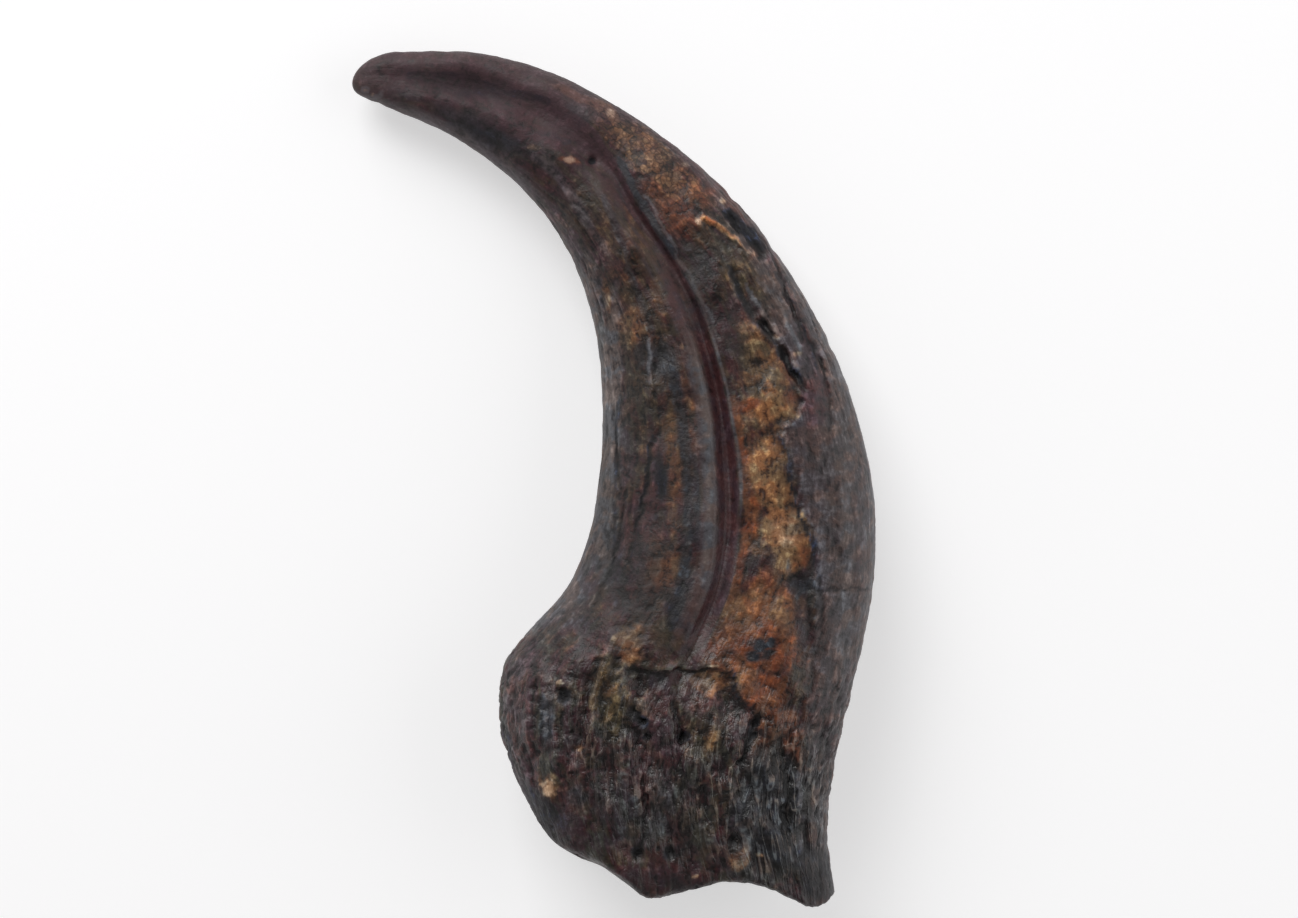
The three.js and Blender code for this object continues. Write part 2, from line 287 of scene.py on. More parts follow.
def from_line(x: np.ndarray, y: np.ndarray, line: tuple[Point, ...]) -> tuple[np.ndarray, ...]:
    """Measures from every point to the nearest place on a line of straight runs.

    Args:
        x: how far each point is to the dorsal side.
        y: how far each point is towards the tip.
        line: the line's corners.

    Returns:
        The distance, whether the point is on the line's right, and the share of the line passed.
    """
    distance = np.full(x.shape, np.inf)
    on_right = np.zeros(x.shape, bool)
    share = np.zeros(x.shape)
    for i, (a, b) in enumerate(zip(line, line[1:])):
        run = (b[0] - a[0], b[1] - a[1])
        off = (x - a[0], y - a[1])
        t = np.clip((off[0] * run[0] + off[1] * run[1]) / (run[0] ** 2 + run[1] ** 2), 0, 1)
        away = np.hypot(off[0] - t * run[0], off[1] - t * run[1])
        closer = away < distance
        on_right = np.where(closer, run[0] * off[1] < run[1] * off[0], on_right)
        share = np.where(closer, (i + t) / (len(line) - 1), share)
        distance = np.where(closer, away, distance)
    return distance, on_right, share


# How far broad and fine ripples push places about, how wide they are, and how far apart the two
# flanks lie in them, in millimetres.
RAG, RAG_SIZE = 0.35, 2.4
FINE_RAG, FINE_RAG_SIZE = 0.2, 0.9
FLANK_GAP = 3.0


def ragged(x: np.ndarray, y: np.ndarray, side: np.ndarray) -> tuple[np.ndarray, np.ndarray]:
    """Pushes places about by two sizes of ripple, so that what is drawn by them has a ragged edge.

    Args:
        x: how far each point is to the dorsal side.
        y: how far each point is towards the tip.
        side: 1 on the upper flank and -1 on the lower one.

    Returns:
        The pushed places, x and y.
    """
    flat = np.stack([x, y, side * FLANK_GAP], -1)
    shift_x, shift_y = (
        RAG * fractal(flat / RAG_SIZE, broad) + FINE_RAG * ripple(flat / FINE_RAG_SIZE, fine)
        for broad, fine in ((Seed.RAG_X, Seed.FINE_RAG_X), (Seed.RAG_Y, Seed.FINE_RAG_Y))
    )
    return x + shift_x, y + shift_y


@dataclass(frozen=True)
class Scarp:
    """A step in the surface, low on the right of its line and fading out over its reach."""

    line: tuple[Point, ...]
    drop: float
    width: float
    reach: float
    fade: float = 0.12

    def relief(self, x: np.ndarray, y: np.ndarray) -> np.ndarray:
        """Height it adds: full drop one width from the line, none at its reach or past its ends."""
        distance, on_right, share = from_line(x, y, self.line)
        ends = smooth(share, 0, self.fade) * smooth(1 - share, 0, self.fade)
        step = smooth(distance, 0, self.width) * (1 - smooth(distance, self.width, self.reach))
        return np.where(on_right, -self.drop * ends * step, 0.0)


@dataclass(frozen=True)
class Fissure:
    """A sharp furrow along a line."""

    line: tuple[Point, ...]
    depth: float
    half_width: float

    def relief(self, x: np.ndarray, y: np.ndarray) -> np.ndarray:
        """Height it adds: a straight-sided V, deepest on the line."""
        return -self.depth * np.maximum(0, 1 - from_line(x, y, self.line)[0] / self.half_width)


@dataclass(frozen=True)
class Pit:
    """A round hollow."""

    at: Point
    depth: float
    radius: float

    def relief(self, x: np.ndarray, y: np.ndarray) -> np.ndarray:
        """Height it adds: a bell curve upside down."""
        return -self.depth * np.exp(-((x - self.at[0]) ** 2 + (y - self.at[1]) ** 2) / self.radius**2)


Mark = Union[Scarp, Fissure, Pit]
DORSAL_STEP = (
    (18.6, 20.7), (20.7, 18.1), (22.6, 15.9), (24.6, 13.2), (25.2, 9.5), (24.4, 7.4), (22.5, 6.3),
    (21.9, 4.7), (22.9, 3.1), (23.3, 0.7), (24.1, -0.7), (24.4, -4.1), (25.9, -6.9), (26.7, -11.1),
    (26.5, -15.5), (26.5, -19.6), (25.9, -23.6),
)
BASE_STEP = (
    (2.6, -24.9), (4.0, -25.2), (5.5, -25.4), (7.1, -25.7), (8.8, -24.8), (10.2, -25.2), (11.3, -25.5),
    (12.5, -25.1), (13.7, -25.2), (15.3, -25.8), (16.3, -27.1), (17.1, -28.8), (17.9, -30.6), (18.2, -32.2),
)
MARKS: dict[Flank, tuple[Mark, ...]] = {
    Flank.UPPER: (
        # Steps of the base and of the strip along the outer edge.
        Scarp(BASE_STEP, 0.8, 0.5, 5.5, 0.1),
        Scarp(DORSAL_STEP, 0.5, 0.45, 7),
        Scarp(((26.6, 19.5), (28.0, 15.0), (28.9, 9.0), (29.2, 4.5)), 0.3, 0.4, 3),
        # The large chip in the outer edge, its raised rim, and the cracks below it.
        Fissure(((15.5, 34.4), (17.6, 32.0), (19.6, 29.6)), 0.9, 1.3),
        Fissure(((11.3, 33.4), (11.9, 34.6), (13.6, 33.9), (15.9, 31.5), (18.4, 29.1)), -0.5, 0.6),
        Fissure(
            ((15.7, 27.4), (16.4, 25.0), (17.5, 23.0), (19.2, 20.4), (21.0, 18.5), (22.7, 15.9)), 0.5, 0.6,
        ),
        Fissure(((22.4, 16.8), (23.6, 13.6), (25.4, 11.7)), 0.8, 0.65),
        Fissure(((19.6, 20.2), (20.9, 18.4)), 0.5, 0.6),
        # Cracks, creases and rolls of the base. A fissure of negative depth stands up.
        Fissure(((18.1, -31.4), (20.4, -32.1)), 0.5, 0.6),
        Fissure(((18.6, -32.2), (17.8, -35.1), (16.6, -37.9)), 1.1, 0.7),
        Fissure(((3.1, -25.6), (3.5, -28.4), (2.7, -30.4), (1.9, -32.1), (2.7, -34.3)), 0.8, 0.7),
        Fissure(((-2.0, -24.3), (-3.0, -27.7), (-4.0, -31.1), (-4.3, -33.8), (-5.1, -36.5)), 0.6, 0.7),
        Fissure(((-0.7, -23.0), (-2.0, -26.6), (-2.8, -30.4), (-3.0, -33.4)), -0.45, 0.7),
        Fissure(((0.5, -24.3), (-0.9, -27.7), (-1.6, -31.1), (-2.0, -34.2)), 0.5, 0.6),
        Fissure(((1.6, -25.0), (0.2, -29.0), (-0.5, -32.0)), -0.4, 0.7),
        Fissure(((8.4, -27.0), (8.0, -31.0), (9.2, -35.0), (8.7, -38.5)), 0.4, 0.8),
        Fissure(((12.0, -28.5), (12.6, -32.0), (11.4, -36.5)), 0.4, 0.7),
        Fissure(((-5.9, -39.2), (-2.0, -38.8), (2.0, -39.0)), 0.2, 0.4),
        # Hairlines of the palmar side, then of the strip, then of the joint's rim.
        Fissure(((5.5, 5.8), (4.7, 1.6), (3.8, -3.4), (2.6, -7.8), (1.8, -11.5)), 0.3, 0.35),
        Fissure(((1.6, -2.0), (0.8, -8.0), (-0.9, -14.0), (-2.6, -17.5)), 0.35, 0.4),
        Fissure(((-1.0, 14.0), (0.3, 6.0), (0.9, -3.0)), 0.3, 0.4),
        Fissure(((4.8, 18.0), (5.0, 10.0)), -0.2, 0.5),
        Fissure(
            ((20.9, 30.6), (22.9, 25.1), (23.7, 22.3), (25.9, 18.0), (28.0, 13.9), (29.1, 7.0)), 0.4, 0.4,
        ),
        Fissure(((22.7, 24.2), (24.6, 19.6), (25.9, 16.6)), 0.4, 0.4),
        Fissure(((26.0, -15.1), (34.2, -15.3)), 0.25, 0.3),
        Fissure(((27.3, -13.6), (27.4, -21.4)), 0.3, 0.35),
        Fissure(((-10.7, -22.3), (-10.6, -32.0), (-10.8, -41.2)), 0.35, 0.4),
        Fissure(((4.1, -38.0), (4.3, -43.0), (3.6, -50.0)), 0.5, 0.6),
        Fissure(((22.3, -36.0), (22.9, -42.0), (22.7, -49.0)), 0.6, 0.8),
        Fissure(((24.0, -34.0), (24.6, -41.0), (24.4, -50.0)), -0.3, 0.4),
        # Holes of the base, one bump beside them, and a pit near the tip.
        Pit((-6.6, -29.1), 1.5, 0.7),
        Pit((3.7, -32.3), 1.1, 0.6),
        Pit((3.0, -31.3), 0.9, 0.6),
        Pit((4.3, -34.4), 0.8, 0.6),
        Pit((3.5, -30.0), -0.5, 0.9),
        Pit((9.0, -34.4), 1.1, 0.9),
        Pit((3.2, -49.9), 0.9, 0.8),
        Pit((7.3, -49.7), 0.9, 0.6),
        Pit((15.6, -48.1), 0.9, 0.6),
        Pit((-2.9, 42.0), 0.7, 0.4),
    ),
    Flank.LOWER: (
        # Breaks and holes of the flank that it lies on.
        Scarp(((-1.0, -27.4), (6.2, -25.2), (11.4, -26.6), (17.0, -24.4)), 0.7, 0.5, 5),
        Fissure(((24.6, 20.1), (27.4, 12.4), (28.3, 5.6)), 0.8, 0.9),
        Fissure(((2.6, 12.0), (4.2, 1.8), (3.1, -7.5)), 0.5, 0.5),
        Fissure(((21.0, -36.0), (20.0, -44.0), (21.0, -50.0)), 0.5, 0.7),
        Pit((-5.2, -33.6), 1.0, 0.9),
        Pit((4.6, -37.8), 1.0, 0.9),
        Pit((13.4, -31.5), 1.0, 0.8),
        Pit((20.2, -46.0), 0.9, 0.8),
    ),
}
# Small chips broken from the edges, and the blunted tip.
NICKS = (
    Pit((15.9, 37.6), 0.2, 0.8),
    Pit((21.4, 30.6), 0.2, 0.8),
    Pit((29.3, 17.6), 0.15, 0.9),
    Pit((-34.2, 50.0), 0.55, 2.2),
)


@dataclass(frozen=True)
class GrooveShape:
    """The blood groove's profile: where its lip, its walls and its bank stand, across the floor.

    The lip is a bell-shaped swell, the wall falls from it to the floor, and the bank rises from
    the floor to the dorsal field.
    """

    lip: float
    lip_height: float
    lip_width: float
    wall_from: float
    wall_to: float
    bank_from: float
    bank_to: float

    @classmethod
    def at(cls, place: np.ndarray) -> "GrooveShape":
        """The profile at each place: those of GROOVE_SHAPES, from the root to the tip, blended."""
        past = [smooth(place, low, high) for low, high in GROOVE_BLENDS]
        shares = [1 - past[0], *(before - after for before, after in zip(past, past[1:])), past[-1]]
        parts = list(zip(GROOVE_SHAPES, shares))
        names = [size.name for size in fields(cls)]
        return cls(**{name: sum(getattr(shape, name) * share for shape, share in parts) for name in names})

    def relief(self, across: np.ndarray, depth: np.ndarray, lip_share: np.ndarray) -> np.ndarray:
        """Height of the profile.

        Args:
            across: how far each point is from the floor's middle, towards the dorsal side.
            depth: how deep the floor is.
            lip_share: how much of the lip there is.

        Returns:
            The height in millimetres.
        """
        lip = self.lip_height * np.exp(-(((across - self.lip) / self.lip_width) ** 2))
        into = smooth(across, self.wall_from, self.wall_to)
        out_of = 1 - smooth(across, self.bank_from, self.bank_to)
        return lip_share * np.minimum(1, depth) * lip - depth * into * out_of


# The groove at its root, on the blade, on the upper blade, in the bend and at the tip, and the
# places along the claw over which each of them turns into the next.
GROOVE_SHAPES = (
    GrooveShape(-2.4, 0.4, 1.4, -1.5, 0.2, 0.0, 2.1),
    GrooveShape(-2.6, 0.4, 1.4, -2.1, -0.4, -0.1, 1.4),
    GrooveShape(-2.2, 0.4, 1.4, -1.6, 0.1, 0.0, 1.25),
    GrooveShape(-2.2, 0.3, 1.8, -3.2, 0.5, 0.2, 1.45),
    GrooveShape(-5.6, 0.1, 2.5, -5.2, -1.5, -0.7, 2.9),
)
GROOVE_BLENDS = ((5.0, 6.6), (7.2, 8.3), (9.3, 10.2), (12.6, 14.0))


@dataclass(frozen=True)
class Wave:
    """A product of two sine waves, by their change per millimetre along X and Y and their phase."""

    height: float
    first: Vector3
    second: Vector3

    def relief(self, x: np.ndarray, y: np.ndarray) -> np.ndarray:
        """Height it adds."""
        one, two = (np.sin(a * x + b * y + phase) for a, b, phase in (self.first, self.second))
        return self.height * one * two


SWELLS = (
    Wave(0.22, (0.31, 0, 1.3), (0, 0.23, 0.4)),
    Wave(0.22, (0.74, -0.2, 0), (0.35, 0.41, 2.0)),
)
BASE_LUMPS = Wave(0.45, (1.05, 0.25, 0), (-0.3, 0.55, 0.7))


def on_flank(side: np.ndarray, flank: Flank) -> np.ndarray:
    """1 on one flank, fading out round its edges."""
    return smooth(side * flank.value, -0.2, 0.5)


@dataclass(frozen=True)
class Patch:
    """A soft-edged stain on one flank: an ellipse, its long axis turned from +Y towards -X."""

    at: Point
    length: float
    width: float
    turn: float = 0.0
    strength: float = 1.0
    flank: Flank = Flank.UPPER

    def cover(self, x: np.ndarray, y: np.ndarray, side: np.ndarray) -> np.ndarray:
        """How strongly it stains each point: 1 in the middle, half at the ellipse's edge.

        Args:
            x: how far each point is to the dorsal side.
            y: how far each point is towards the tip.
            side: from 1 on the upper flank to -1 on the lower one.

        Returns:
            The stain, from 0 to the patch's strength.
        """
        angle = math.radians(self.turn)
        off_x, off_y = x - self.at[0], y - self.at[1]
        lengthways = -off_x * math.sin(angle) + off_y * math.cos(angle)
        sideways = off_x * math.cos(angle) + off_y * math.sin(angle)
        away = np.hypot(2 * lengthways / self.length, 2 * sideways / self.width)
        return self.strength * (1 - smooth(away, 0.55, 1.45)) * on_flank(side, self.flank)


@dataclass(frozen=True)
class Vein:
    """A stain along a line on one flank: a darkened crack, a seam, a stained ridge, or painted shade along
    a step.
    """

    line: tuple[Point, ...]
    width: float
    strength: float = 1.0
    flank: Flank = Flank.UPPER

    def cover(self, x: np.ndarray, y: np.ndarray, side: np.ndarray) -> np.ndarray:
        """How strongly it stains each point: full along the line, half at half its width.

        Args:
            x: how far each point is to the dorsal side.
            y: how far each point is towards the tip.
            side: from 1 on the upper flank to -1 on the lower one.

        Returns:
            The stain, from 0 to the vein's strength.
        """
        distance = from_line(x, y, self.line)[0] / self.width
        return self.strength * (1 - smooth(distance, 0.25, 0.75)) * on_flank(side, self.flank)


# Where each tint lies on the stone. Unless it says otherwise, a stain is on the upper flank.
PATCHES: dict[Tint, tuple[Patch, ...]] = {
    Tint.OLIVE: (
        Patch((4.5, 43.6), 13.5, 5.9, 46, 0.35), Patch((4.8, 10.1), 24.3, 7.6, 2, 0.25),
        Patch((2.4, -16.9), 8.1, 2.2, 20, 0.4), Patch((-0.3, -29.6), 11.3, 4.3, 0, 1.1),
        Patch((12.1, -35.1), 7.6, 5.4, 0, 0.55), Patch((-23.6, 49.3), 1.4, 3.2, 0, 0.5),
        Patch((19.1, 13.9), 9.5, 5.4, 14, 0.6), Patch((16.7, 27.9), 9.5, 6.2, 25, 0.5),
        Patch((20.3, -3.6), 2.2, 6.2, 0, 0.8), Patch((4.8, -12.8), 10.8, 5.9, 10, 0.5),
        Patch((-2.6, 35.8), 10.8, 3.5, 35, 0.4), Patch((7.2, -21.1), 4.6, 4.1, 0, 0.8),
        Patch((30.2, -2.0), 37.8, 5.4, 0, 0.4), Patch((29.1, -25.0), 21.6, 4.6, 3, 0.3),
        Patch((-1.0, 3.4), 37.8, 3.5, 0, 0.55), Patch((3.0, -30.2), 2.2, 1.6),
        Patch((26.9, -43.9), 12.2, 3.5, 0, 0.5), Patch((21.0, 23.6), 10.8, 4.1, 28, 0.6),
        Patch((-1.4, -26.1), 3.2, 3.2, 0, 0.8), Patch((5.5, 2.0), 8.1, 2.7, 0, 0.4),
        Patch((-0.3, 3.4), 27.0, 1.6, 0, 0.4), Patch((4.8, 28.8), 16.2, 2.2, 22, 0.5),
        Patch((7.5, 6.8), 10.3, 1.9, -4, 0.6), Patch((4.0, 8.1), 8.1, 1.4, 0, 0.5),
        Patch((5.6, -15.5), 8.1, 1.9, 14, 0.5), Patch((8.0, -24.0), 16, 12, 0, 0.6, Flank.LOWER),
    ),
    Tint.OCHRE: (
        Patch((3.4, 43.9), 13.5, 5.1, 48, 0.3), Patch((7.8, 39.3), 8.9, 5.1, 42, 0.3),
        Patch((-1.1, 49.0), 4.6, 2.2, 58, 0.7), Patch((-5.3, 51.0), 6.8, 1.2, 68, 0.5),
        Patch((19.9, 14.7), 10.5, 6.2, 14, 0.38), Patch((21.0, 9.0), 4.1, 6.5, 0, 0.9),
        Patch((20.3, 1.2), 7.0, 5.1, 0, 1.05), Patch((23.2, -8.0), 8.1, 5.9, 12, 1.3),
        Patch((21.3, -2.3), 8.1, 4.1, 10, 0.7), Patch((19.2, -17.7), 5.9, 11.3, 0, 0.55),
        Patch((19.9, 3.4), 51.3, 6.8, 4, 0.25), Patch((2.4, 19.6), 5.4, 5.4, 0, 0.4),
        Patch((9.1, 4.7), 17.6, 4.6, -3, 0.26), Patch((5.5, 19.6), 17.6, 5.4, 10, 0.18),
        Patch((5.5, -16.9), 10.8, 6.8, 10, 0.12), Patch((-1.1, 23.9), 4.9, 1.2, 5, 0.6),
        Patch((2.2, -22.3), 4.6, 3.8, 0, 0.6), Patch((7.0, -12.6), 4.6, 5.9, 10, 0.45),
        Patch((-0.2, -29.0), 6.2, 3.5, 0, 0.3), Patch((1.0, 30.4), 14.9, 6.8, 15, 0.2),
        Patch((-4.4, -35.9), 0.9, 1.2, 0, 0.8), Patch((12.8, -27.4), 2.8, 4.3, 0, 1.3),
        Patch((12.4, -35.1), 4.1, 2.7, 0, 0.3), Patch((15.3, -19.3), 3.0, 4.1, 0, 0.3),
        Patch((16.7, -50.6), 2.2, 2.6, 0, 1.1), Patch((24.4, 16.6), 2.2, 1.4, 0, 0.5),
        Patch((20.2, -35.5), 7.6, 3.8, 15, 0.32), Patch((17.2, -25.2), 5.4, 3.5, 0, 0.35),
        Patch((-8.6, -41.3), 3.5, 2.7, 0, 0.45), Patch((7.8, 6.1), 8.1, 1.4, -4, 0.35),
        Patch((7.8, -6.1), 8.1, 1.5, 4, 0.35), Patch((18.0, 6.0), 24, 8, 0, 0.6, Flank.LOWER),
        Patch((4.0, 36.0), 14, 6, 45, 0.6, Flank.LOWER),
    ),
    Tint.RUST: (
        Patch((10.2, 38.7), 8.1, 4.1, 45, 0.35), Patch((19.0, -16.9), 7.6, 10.8, 0, 0.4),
        Patch((8.8, 6.1), 20.2, 5.4, -3, 0.22), Patch((5.5, -11.5), 9.5, 2.7, 10, 0.2),
        Patch((18.6, -22.3), 8.1, 12.2, 0, 0.7), Patch((19.9, -28.2), 5.9, 6.8, 0, 0.85),
        Patch((23.2, -33.9), 9.5, 3.2, 20, 0.6), Patch((20.7, -32.0), 7.6, 5.4, 10, 0.45),
        Patch((8.3, 35.0), 6.2, 5.4, 35, 0.5), Patch((13.0, 38.2), 1.2, 1.5, 0, 0.9),
        Patch((11.5, 36.6), 4.1, 2.2, 40, 0.5), Patch((-5.9, 41.7), 1.1, 2.7, 0, 0.6),
        Patch((17.3, -49.8), 1.4, 1.4, 0, 0.5), Patch((25.4, -30.4), 17.6, 1.1, -5, 0.35),
        Patch((17.8, 9.3), 1.6, 2.2, 0, 0.9), Patch((18.2, -5.5), 6.8, 1.9, 0, 0.7),
        Patch((-4.4, 50.5), 6.8, 1.2, 66, 0.6), Patch((23.4, 10.4), 2.2, 2.2, 0, 0.6),
        Patch((25.0, -10.9), 3.0, 2.4, 0, 0.6), Patch((21.0, -19.3), 1.9, 2.7, 0, 0.6),
        Patch((5.5, 37.8), 5.4, 2.2, 40, 0.4), Patch((14.8, 37.7), 13.5, 2.2, 42, 0.5),
        Patch((3.4, 31.7), 10.8, 1.6, 27, 0.22), Patch((20.0, -20.0), 14, 9, 0, 0.8, Flank.LOWER),
        Patch((2.0, -30.0), 7, 6, 0, 0.6, Flank.LOWER),
    ),
    Tint.SLATE: (
        Patch((-1.4, 6.1), 32.4, 2.4, 0, 0.4), Patch((-18.2, 46.3), 14.9, 3.5, 62, 0.75),
        Patch((-27.1, 50.9), 1.6, 5.9, -12, 0.6), Patch((-17.3, 47.1), 1.9, 4.9, -10, 0.7),
        Patch((-14.8, 45.1), 1.9, 3.5, -25, 0.8), Patch((6.7, 15.3), 4.6, 4.1, 0, 0.7),
        Patch((3.4, 16.1), 4.1, 1.9, 0, 0.6), Patch((6.0, -0.4), 5.4, 1.9, 4, 0.9),
        Patch((4.3, -4.7), 5.4, 2.7, 10, 0.6), Patch((10.5, -16.9), 8.6, 2.2, 5, 0.5),
        Patch((-5.1, 48.1), 3.8, 3.2, 30, 0.8), Patch((-8.8, -31.9), 9.5, 2.3, 0, 0.8),
        Patch((2.1, 36.3), 8.1, 1.4, 34, 0.6), Patch((20.7, -43.9), 17.6, 10.3, -3, 0.7),
        Patch((-4.5, -42.3), 2.7, 2.7), Patch((18.8, -11.5), 2.2, 4.9, 0, 0.5),
        Patch((24.8, -14.2), 2.4, 5.4, 0, 0.7), Patch((3.4, -43.9), 12.2, 14.9, 0, 0.4),
        Patch((5.5, -27.1), 2.7, 4.1, 0, 0.6), Patch((27.2, -52.0), 8.1, 4.9, 0, 0.7),
        Patch((24.5, 3.1), 8.1, 2.2, -10, 0.6), Patch((29.1, -22.3), 16.2, 3.2, 0, 0.4),
        Patch((25.3, 14.3), 1.6, 2.2, 0, 0.9), Patch((19.2, -22.4), 1.6, 2.0),
        Patch((20.9, -22.0), 1.4, 1.5), Patch((18.4, -23.9), 1.6, 2.2),
        Patch((20.3, -23.4), 1.4, 1.9, 0, 0.9), Patch((9.0, -16.6), 5.9, 1.2, 4, 0.9),
        Patch((11.0, -3.4), 14.9, 1.2, 2, 0.6), Patch((17.6, 32.8), 5.4, 1.2, 47, 0.8),
        Patch((-0.6, -11.5), 12.2, 4.1, 8, 0.5), Patch((-5.3, -16.9), 9.5, 4.1, 25, 0.5),
        Patch((0.5, 2.0), 40, 5, 0, 0.6, Flank.LOWER), Patch((12.0, -44.0), 12, 20, 0, 0.6, Flank.LOWER),
    ),
    Tint.MAUVE: (
        Patch((-21.5, 55.2), 4.1, 28.4, -12, 0.6), Patch((-31.0, 53.1), 5.9, 7.6, 0, 0.7),
        Patch((-22.2, 50.6), 16.2, 5.4, 72, 0.5), Patch((5.5, -49.3), 4.1, 17.6, 0, 0.3),
        Patch((-13.0, -30.4), 13.5, 2.7, 0, 0.7), Patch((3.4, -22.3), 2.7, 8.1, 0, 0.3),
        Patch((-0.6, 38.5), 8.1, 1.9, 35, 0.4),
    ),
    Tint.MAROON: (
        Patch((-20.9, 52.8), 25.7, 8.1, 78, 0.5), Patch((-12.8, 47.7), 14.9, 5.9, 64, 0.7),
        Patch((-20.2, 51.8), 21.6, 5.4, 78, 0.75), Patch((-12.8, -35.1), 20.2, 4.6, 0, 0.4),
        Patch((5.5, -35.8), 14.9, 5.4, 0, 0.45), Patch((26.8, 9.9), 7.6, 3.5, -8, 0.9),
        Patch((6.1, -53.3), 3.2, 14.9, -6, 0.6), Patch((-9.4, 49.5), 5.9, 5.4, 60, 0.6),
        Patch((3.4, -8.8), 10.8, 1.6, 8, 0.6), Patch((4.1, -13.5), 14.9, 8.1, 8, 0.35),
        Patch((11.5, -29.0), 5.4, 5.4, 0, 0.5), Patch((-5.3, -42.5), 17.6, 4.1, 0, 0.35),
        Patch((5.9, 3.6), 4.6, 1.9, 0, 0.7), Patch((21.0, 29.6), 2.2, 1.9, 0, 0.7),
        Patch((6.1, -32.0), 5.4, 2.4, 10, 0.7), Patch((25.0, 19.6), 14.9, 1.9, 22, 0.4),
        Patch((-0.3, -36.5), 4.1, 3.2, 0, 0.5), Patch((11.0, 42.3), 14.9, 2.4, 47, 0.5),
        Patch((7.8, 23.6), 10.8, 1.9, 19, 0.6), Patch((-3.0, 41.9), 1.6, 1.8, 0, 0.9),
        Patch((-12.0, -34.0), 18, 7, 0, 0.8, Flank.LOWER),
        Patch((-13.0, 50.0), 26, 5, 68, 0.7, Flank.LOWER),
    ),
    # Dark stone; the small patches over the pits darken the holes as painted shade.
    Tint.CHAR: (
        Patch((7.2, -3.4), 27.0, 5.9, 0, 0.15), Patch((11.1, 27.9), 8.1, 3.2, 28, 0.45),
        Patch((15.9, 17.6), 8.1, 3.0, 14, 0.3), Patch((-17.3, 46.8), 12.2, 4.1, 62, 0.3),
        Patch((-20.6, 52.2), 16.2, 3.2, 79, 0.45), Patch((11.1, 23.6), 12.2, 3.0, 20, 0.3),
        Patch((15.5, -23.2), 1.1, 1.6, 0, 0.6), Patch((-6.7, -29.2), 2.0, 1.6, 0, 1.2),
        Patch((3.6, -32.5), 1.6, 1.4, 30), Patch((2.6, -32.0), 1.1, 1.9, 30, 0.7),
        Patch((9.0, -34.4), 1.5, 1.8), Patch((4.3, -34.4), 1.2, 1.2, 0, 0.9),
        Patch((3.0, -49.7), 1.4, 1.5, 0, 0.9), Patch((7.2, -49.8), 1.4, 1.5, 0, 0.9),
        Patch((15.7, -48.2), 1.1, 1.1, 0, 1.2), Patch((-3.0, 42.0), 0.8, 0.9, 0, 1.2),
        Patch((22.6, -43.9), 14.9, 1.1, -3, 0.5), Patch((-10.1, -45.5), 10.3, 7.3, 35, 0.7),
        Patch((25.0, -50.6), 4.1, 6.8, 0, 0.6), Patch((27.3, -53.1), 7.6, 4.6, 0, 0.75),
        Patch((-14.4, -38.5), 12.2, 2.7, 10, 0.9), Patch((6.8, -53.9), 2.7, 14.9, -4, 0.5),
        Patch((1.0, -28.8), 8.1, 0.7, 4, 0.6), Patch((19.6, -40.5), 8.1, 4.1, 0, 0.5),
        Patch((14.8, 35.2), 0.8, 0.9, 0, 1.2), Patch((3.4, -14.9), 17.6, 9.5, 12, 0.3),
        Patch((8.0, -17.7), 4.1, 1.6, 10, 0.6), Patch((6.1, 0.1), 7.0, 1.5, 4, 0.75),
        Patch((3.4, -8.8), 8.1, 1.2, 8, 0.5), Patch((26.5, 13.0), 14, 2.4, 15, 0.7, Flank.LOWER),
        Patch((10.0, -40.0), 12, 14, 0, 0.4, Flank.LOWER),
    ),
    Tint.PALE: (
        Patch((6.7, 41.2), 8.1, 4.1, 44, 0.12), Patch((12.6, -27.3), 1.2, 1.9, 0, 0.4),
        Patch((-8.8, -41.6), 1.2, 1.5, 60, 1.3), Patch((-8.4, -40.6), 0.7, 1.2, -30, 1.1),
        Patch((-9.4, -40.8), 0.5, 0.8, 20, 0.9), Patch((-7.9, -42.1), 0.5, 0.8, 10, 0.8),
        Patch((-33.5, 51.6), 0.5, 0.7, 30, 0.35), Patch((-32.5, 51.0), 0.5, 0.8, 28, 0.35),
        Patch((-0.5, 48.5), 1.2, 1.5, 0, 0.7), Patch((21.3, 18.5), 0.7, 1.6, -20, 0.3),
        Patch((16.3, -51.0), 1.1, 1.1, 0, 0.9), Patch((19.2, -50.1), 0.4, 0.9),
        Patch((11.1, 33.8), 0.9, 0.8, 30, 0.7), Patch((14.5, 36.7), 0.8, 0.8, 0, 0.9),
        Patch((-10.6, 43.6), 0.9, 1.5, 0, 0.7), Patch((-7.2, -27.4), 0.7, 0.8),
        Patch((13.0, -25.0), 0.4, 2.4, 0, 0.7), Patch((-6.0, 41.9), 0.9, 1.4, 0, 0.6),
        Patch((8.4, 39.8), 1.4, 1.4, 0, 0.35), Patch((9.5, 41.6), 0.9, 1.2, 0, 0.35),
        Patch((24.4, 16.1), 0.5, 1.2, 0, 0.6), Patch((17.2, -49.3), 0.8, 1.1, 0, 0.5),
        Patch((10.7, -52.9), 0.5, 1.1, 20, 0.7), Patch((2.1, -23.4), 1.1, 1.1, 0, 0.4),
        Patch((-4.4, -36.0), 0.5, 0.7, 0, 0.9), Patch((23.0, -7.4), 5.4, 3.8, 0, 0.35),
        Patch((9.1, 17.0), 0.8, 0.7, 0, 0.5),
    ),
    # Painted sheen and highlights of the grey sheen tint: along the palmar and outer edges, on the base and
    # its lip, and as glints in the chip and at the tip.
    Tint.BLOOM: (
        Patch((-0.3, 10.1), 28.4, 2.7, -1, 0.85), Patch((30.2, -3.4), 35.1, 7.3, 0, 0.3),
        Patch((-5.3, 36.5), 17.6, 1.4, 32, 0.5), Patch((-8.7, 40.9), 8.1, 1.4, 48, 0.5),
        Patch((30.7, -14.2), 32.4, 2.2, 0, 0.6), Patch((17.2, -46.6), 12.2, 5.4, -3, 0.35),
        Patch((-9.0, -32.0), 8.1, 1.1, 0, 0.5), Patch((-6.8, -29.2), 0.5, 0.5, 0, 0.9),
